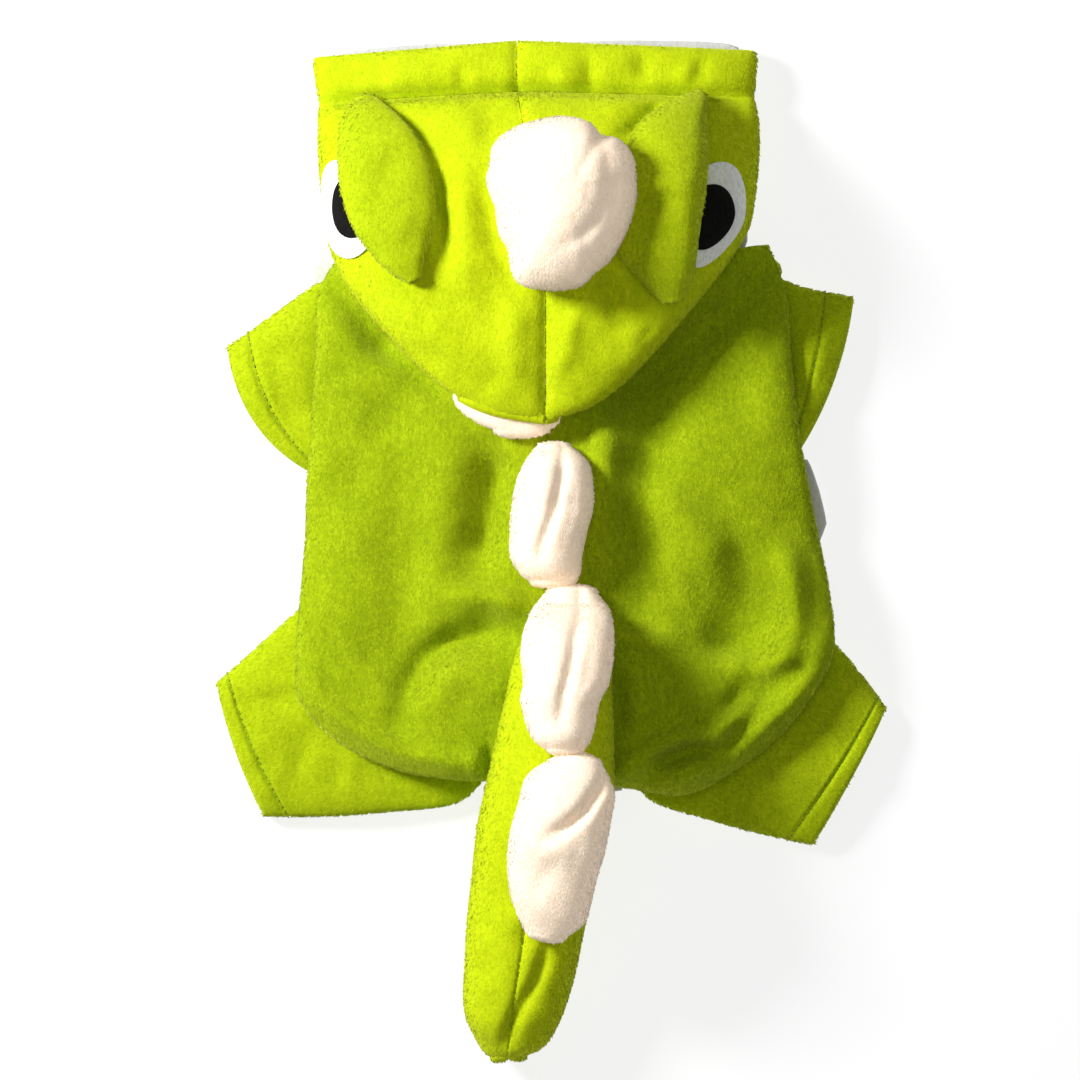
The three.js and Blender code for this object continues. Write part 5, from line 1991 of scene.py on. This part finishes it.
@dataclass
class Eye:
    """A felt eye on one side of the hood: a white oval with a black pupil on it."""

    side: Side
    white: Oval
    pupil: Oval
    white_cut: tuple[float, float, float]
    pupil_cut: tuple[float, float, float]
    white_lift: float = 0.7
    pupil_rise: float = 0.5
    puff: float = 0.55
    side_share: float = 0.55
    sides: int = 72
    circles: int = 14

    def patch(self, panel: Panel, oval: Oval, lift: float) -> Form:
        """One felt oval, lifted off its panel.

        Args:
            panel: The hood's half.
            oval: The oval's place and size.
            lift: Height of its under side over the panel.

        Returns:
            The oval's form.
        """
        normals = grid_normals(panel.grid, False)
        reach = np.sin(np.pi / 2 * np.arange(1, self.circles + 1) / self.circles)[:, None]
        angle = (2 * np.pi * np.arange(self.sides) / self.sides)[None, :]
        along = oval.along + oval.long * reach * np.sin(angle)
        across = oval.across + oval.wide * reach * np.cos(angle)
        points = panel.spot(along, across, panel.grid)
        facing = unit(panel.spot(along, across, normals))
        top = lift + FELT * self.side_share
        high = points + facing * (top + self.puff * (1 - reach**4)[..., None])
        low = points + facing * lift
        middle = np.array([oval.along]), np.array([oval.across])
        centre = panel.spot(*middle, panel.grid)[0]
        centre_out = unit(panel.spot(*middle, normals))[0]
        size = self.circles * self.sides
        all_points = np.concatenate([
            high.reshape(-1, 3), low.reshape(-1, 3),
            [centre + centre_out * (top + self.puff)], [centre + centre_out * lift],
        ])
        faces = grid_faces(self.circles, self.sides, True)
        faces += [face[::-1] for face in grid_faces(self.circles, self.sides, True, size)]
        rim = (self.circles - 1) * self.sides
        for k in range(self.sides):
            other = (k + 1) % self.sides
            faces.append((rim + k, size + rim + k, size + rim + other, rim + other))
            faces.append((k, other, 2 * size))
            faces.append((size + other, size + k, 2 * size + 1))
        nothing = np.zeros(len(all_points))
        lying = np.tile((0.0, -1.0, 0.0), (len(all_points), 1))
        return Form(all_points, faces, nothing, lying).turned_out()

    def clear(self, panel: Panel, form: Form) -> None:
        """Takes the pile off the panel under the white oval.

        Args:
            panel: The hood's half.
            form: Its form.
        """
        rows, columns = panel.grid.shape[:2]
        along = (panel.shares[:, None] - self.white.along) / self.white.long
        across = (panel.across[None, :] - self.white.across) / self.white.wide
        hidden = (along**2 + across**2) < 0.98
        form.cover[: rows * columns][hidden.ravel()] = 0


@dataclass
class Under:
    """The two pale panels that lie on the surface."""

    shop: Workshop
    belly: FlatPanel = field(default_factory=lambda: FlatPanel(
        "belly", BELLY_OUTLINE, (0.219, 0.227), 0.0375))
    throat: FlatPanel = field(default_factory=lambda: FlatPanel(
        "throat", THROAT_OUTLINE, (0.175, 0.093), 0.0157))

    def build(self) -> None:
        for panel in (self.belly, self.throat):
            made = self.shop.piece(panel.node, panel.lay(), PALE_PLUSH)


@dataclass
class Limbs:
    """The two sleeves and the two leg pieces."""

    shop: Workshop
    tubes: tuple[Tube, ...] = (
        Tube("sleeve_left", SLEEVE_LEFT, SLEEVE_FOLDS, Nap.TO_LEFT, (0.045, 0.15), 0.0058),
        Tube("sleeve_right", SLEEVE_RIGHT, SLEEVE_FOLDS, Nap.TO_RIGHT, (0.033, 0.15), 0.0041),
        Tube("leg_left", LEG_LEFT, LEG_FOLDS, Nap.TO_LEFT, (0.075, 0.215), 0.0134, count=36),
        Tube("leg_right", LEG_RIGHT, LEG_FOLDS, Nap.TO_RIGHT, (0.07, 0.215), 0.0124, count=36),
    )

    def build(self) -> None:
        for tube in self.tubes:
            # The sleeves and legs wear painted shade: a somewhat darker copy of the green plush.
            made = self.shop.piece(tube.node, tube.lay(), GREEN_PLUSH_PAINTED_MILD_SHADE)
            row = self.shop.stitches(f"{tube.node}_hem_stitches", tube.node, tube.hem_path())
            pile = self.shop.pile_on(made, tube.node, GREEN_PLUSH_PAINTED_MILD_SHADE)


@dataclass
class Back:
    """The two back halves, joined by the centre-back seam."""

    shop: Workshop
    below: tuple[str, ...] = (
        "belly", "throat", "sleeve_left", "sleeve_right", "leg_left", "leg_right",
    )
    panels: tuple[Panel, ...] = (
        Panel("back_left", Side.LEFT, BACK_SEAM, BACK_LEFT, BACK_FOLDS, 104, 50, 14,
              (0.146, 0.273), 0.0296),
        Panel("back_right", Side.RIGHT, BACK_SEAM, BACK_RIGHT, BACK_FOLDS, 104, 50, 14,
              (0.15, 0.284), 0.0326),
    )

    def build(self) -> None:
        """Lays both halves over the limbs."""
        rest = self.shop.over(self.below, NEAR)
        for panel in self.panels:
            # The back halves are dressed in painted shade: a darker copy of the green plush.
            self.shop.piece(panel.node, panel.lay(rest), GREEN_PLUSH_PAINTED_SHADE)

    def dress(self, above: Sequence[str]) -> None:
        """Args:
            above: The pieces that lie on them.
        """
        for panel in self.panels:
            made = bpy.data.objects[f"{panel.node}_cloth"]
            pile = self.shop.pile_on(made, panel.node, GREEN_PLUSH_PAINTED_SHADE, under=above)


@dataclass
class Hood:
    """The two hood halves, the turned brim round the face opening, and the felt eyes."""

    shop: Workshop
    below: tuple[str, ...] = (
        "belly", "throat", "sleeve_left", "sleeve_right", "back_left", "back_right", "spike_1",
    )
    halves: tuple[Panel, ...] = (
        Panel("hood_left", Side.LEFT, HOOD_SEAM, HOOD_LEFT, HOOD_FOLDS, 92, 50, 14,
              (0.133, 0.188), 0.0187, front_dip=5.4),
        Panel("hood_right", Side.RIGHT, HOOD_SEAM, HOOD_RIGHT, HOOD_FOLDS, 92, 50, 14,
              (0.132, 0.18), 0.0176, front_dip=5.4),
    )
    brims: tuple[Panel, ...] = (
        Panel("brim_left", Side.LEFT, HOOD_SEAM, BRIM_LEFT, BRIM_FOLDS, 18, 50, 10,
              (0.104, 0.0255), 0.0025, rear_dip=4.4),
        Panel("brim_right", Side.RIGHT, HOOD_SEAM, BRIM_RIGHT, BRIM_FOLDS, 18, 50, 10,
              (0.12, 0.0255), 0.0029, rear_dip=4.4),
    )
    eyes: tuple[Eye, ...] = (
        Eye(Side.LEFT, Oval(0.305, 0.48, 0.115, 0.15), Oval(0.3, 0.43, 0.068, 0.085),
            (0.032, 0.046, 0.00113), (0.0205, 0.0275, 0.00045)),
        Eye(Side.RIGHT, Oval(0.35, 0.412, 0.13, 0.13), Oval(0.355, 0.378, 0.085, 0.095),
            (0.0315, 0.047, 0.00112), (0.0235, 0.03, 0.00056)),
    )

    def build(self) -> None:
        """Lays the hood and the brim, and sews on the eyes."""
        rest = self.shop.over(self.below, FAR)
        for panel in self.halves + self.brims:
            self.shop.piece(panel.node, panel.lay(rest), GREEN_PLUSH)
        for eye, panel in zip(self.eyes, self.halves):
            word = eye.side.name.lower()
            eye.clear(panel, self.shop.forms[panel.node])
            white = eye.patch(panel, eye.white, eye.white_lift)
            made = self.shop.piece(f"eye_white_{word}", white, WHITE_FELT)
            pupil = eye.patch(panel, eye.pupil, eye.white_lift + FELT + eye.pupil_rise)
            made = self.shop.piece(f"pupil_{word}", pupil, BLACK_FELT)

    def dress(self, above: Sequence[str]) -> None:
        """Args:
            above: The pieces that lie on them.
        """
        for panel in self.halves + self.brims:
            made = bpy.data.objects[f"{panel.node}_cloth"]
            pile = self.shop.pile_on(made, panel.node, GREEN_PLUSH, under=above)


@dataclass
class Pads:
    """The stuffed pieces: spikes, tail, ears and horn."""

    shop: Workshop
    horn: Horn = field(default_factory=Horn)

    def add(self, node: str, form: Form, finish: Plush, fill: float) -> None:
        """Makes one stuffed piece with its pile.

        Args:
            node: The solid's name.
            form: The piece's form.
            finish: Its cloth.
            fill: How full it is stuffed; not used.
        """
        made = self.shop.piece(node, form, finish)
        self.shop.pile_on(made, node, finish)

    def spike(self, node: str, count: int, rest: Rest) -> None:
        """Makes one spike on what lies below.

        Args:
            node: The solid's name.
            count: How many sections it has.
            rest: How high things lie at each place.
        """
        folds = Folds((), SPIKE_GROOVES[node])
        roll = Roll(node, SPIKE_ROWS[node], count, 84, 0.8, folds=folds)
        self.add(node, roll.lay(rest), CREAM_PLUSH, roll.fill)

    def build_back_spikes(self) -> None:
        """The two spikes on the back."""
        rest = self.shop.over(("back_left", "back_right"), NEAR)
        self.spike("spike_1", 34, rest)
        self.spike("spike_2", 50, rest)

    def build_head(self) -> None:
        """The ears and the horn."""
        hood = ("hood_left", "hood_right")
        eyes = ("eye_white_left", "eye_white_right", "pupil_left", "pupil_right")
        rest = self.shop.over(hood + eyes, NEAR)
        for node, rows in EAR_ROWS.items():
            roll = Roll(node, rows, 44, 60, 0.5, folds=EAR_FOLDS[node])
            # The ears wear painted shade: a somewhat darker copy of the green plush.
            self.add(node, roll.lay(rest), GREEN_PLUSH_PAINTED_MILD_SHADE, roll.fill)
        self.add("horn", self.horn.lay(self.shop.over(hood, NEAR)), CREAM_PLUSH, 0.85)

    def build_tail(self) -> None:
        """The tail's two halves, and the two spikes on them."""
        backs = ("back_left", "back_right")
        rest = self.shop.over(("belly", "leg_left", "leg_right") + backs, FAR)
        for side in Side:
            node = f"tail_{side.name.lower()}"
            roll = Roll(node, TAIL_ROWS, 96, 50, 0.75, part=side, free=True, rumple=0.9,
                        folds=TAIL_FOLDS)
            self.add(node, roll.lay(rest), GREEN_PLUSH, roll.fill)
        on_tail = self.shop.over(("tail_left", "tail_right") + backs, NEAR)
        self.spike("spike_3", 54, on_tail)
        self.spike("spike_4", 60, on_tail)


@dataclass
class Studio:
    """A plain white floor, soft lights from the left, and a camera straight above."""

    width: float = 0.4536
    middle: tuple[float, float] = (-0.00483, 0.0042)
    distance: float = 4.0
    sensor: float = 36.0
    floor_size: float = 8.0
    floor_drop: float = 0.0004
    sky: float = 0.18

    def build(self) -> None:
        """Sets up the floor, the lights and the camera."""
        scene = bpy.context.scene
        scene.view_settings.view_transform = "Standard"
        half = self.floor_size / 2
        mesh = bpy.data.meshes.new("floor")
        corners = ((-half, -half), (half, -half), (half, half), (-half, half))
        mesh.from_pydata([(x, y, -self.floor_drop) for x, y in corners], [], [(0, 1, 2, 3)])
        mesh.materials.append(Shader("floor").finish({
            "Base Color": (0.25, 0.25, 0.25, 1.0), "Roughness": 0.9, "Specular IOR Level": 0.1,
            "Emission Color": (1.0, 1.0, 1.0, 1.0), "Emission Strength": 0.8,
        }))
        floor = shown("floor", mesh)
        lights = [
            self.light("key", (-0.95, 0.5, 0.76), 0.3, 22.5),
            self.light("top", (0.1, 0.1, 1.6), 1.4, 4.6),
        ]
        world = bpy.data.worlds.new("studio")
        world.use_nodes = True
        background = world.node_tree.nodes["Background"]
        background.inputs["Color"].default_value = (1.0, 1.0, 1.0, 1.0)
        background.inputs["Strength"].default_value = self.sky
        scene.world = world
        lens = bpy.data.cameras.new("camera")
        lens.sensor_width = self.sensor
        lens.lens = self.sensor * self.distance / self.width
        camera = shown("camera", lens)
        camera.location = (*self.middle, self.distance)
        scene.camera = camera

    def light(
        self, name: str, place: tuple[float, float, float], size: float, power: float
    ) -> bpy.types.Object:
        """A soft square light aimed at the garment.

        Args:
            name: The light's name.
            place: Where it hangs, in metres.
            size: Its side.
            power: Its power, in watts.

        Returns:
            The light.
        """
        lamp = bpy.data.lights.new(name, "AREA")
        lamp.size = size
        lamp.energy = power
        made = shown(name, lamp)
        made.location = place
        aim = -unit(np.array(place))
        flat = math.hypot(aim[0], aim[1])
        made.rotation_euler = (math.atan2(flat, -aim[2]), 0.0, math.atan2(-aim[0], aim[1]))
        return made


def main() -> None:
    """Builds the suit in the order in which its pieces lie on each other."""
    logging.basicConfig(level=logging.INFO, format="%(message)s")
    shop = Workshop()
    Under(shop).build()
    Limbs(shop).build()
    back = Back(shop)
    back.build()
    pads = Pads(shop)
    pads.build_back_spikes()
    hood = Hood(shop)
    hood.build()
    pads.build_head()
    pads.build_tail()
    back.dress(["hood_left", "hood_right", "spike_1", "spike_2", "tail_left", "tail_right"])
    hood.dress(["horn", "ear_left", "ear_right"])
    Studio().build()


if __name__ == "__main__":
    main()
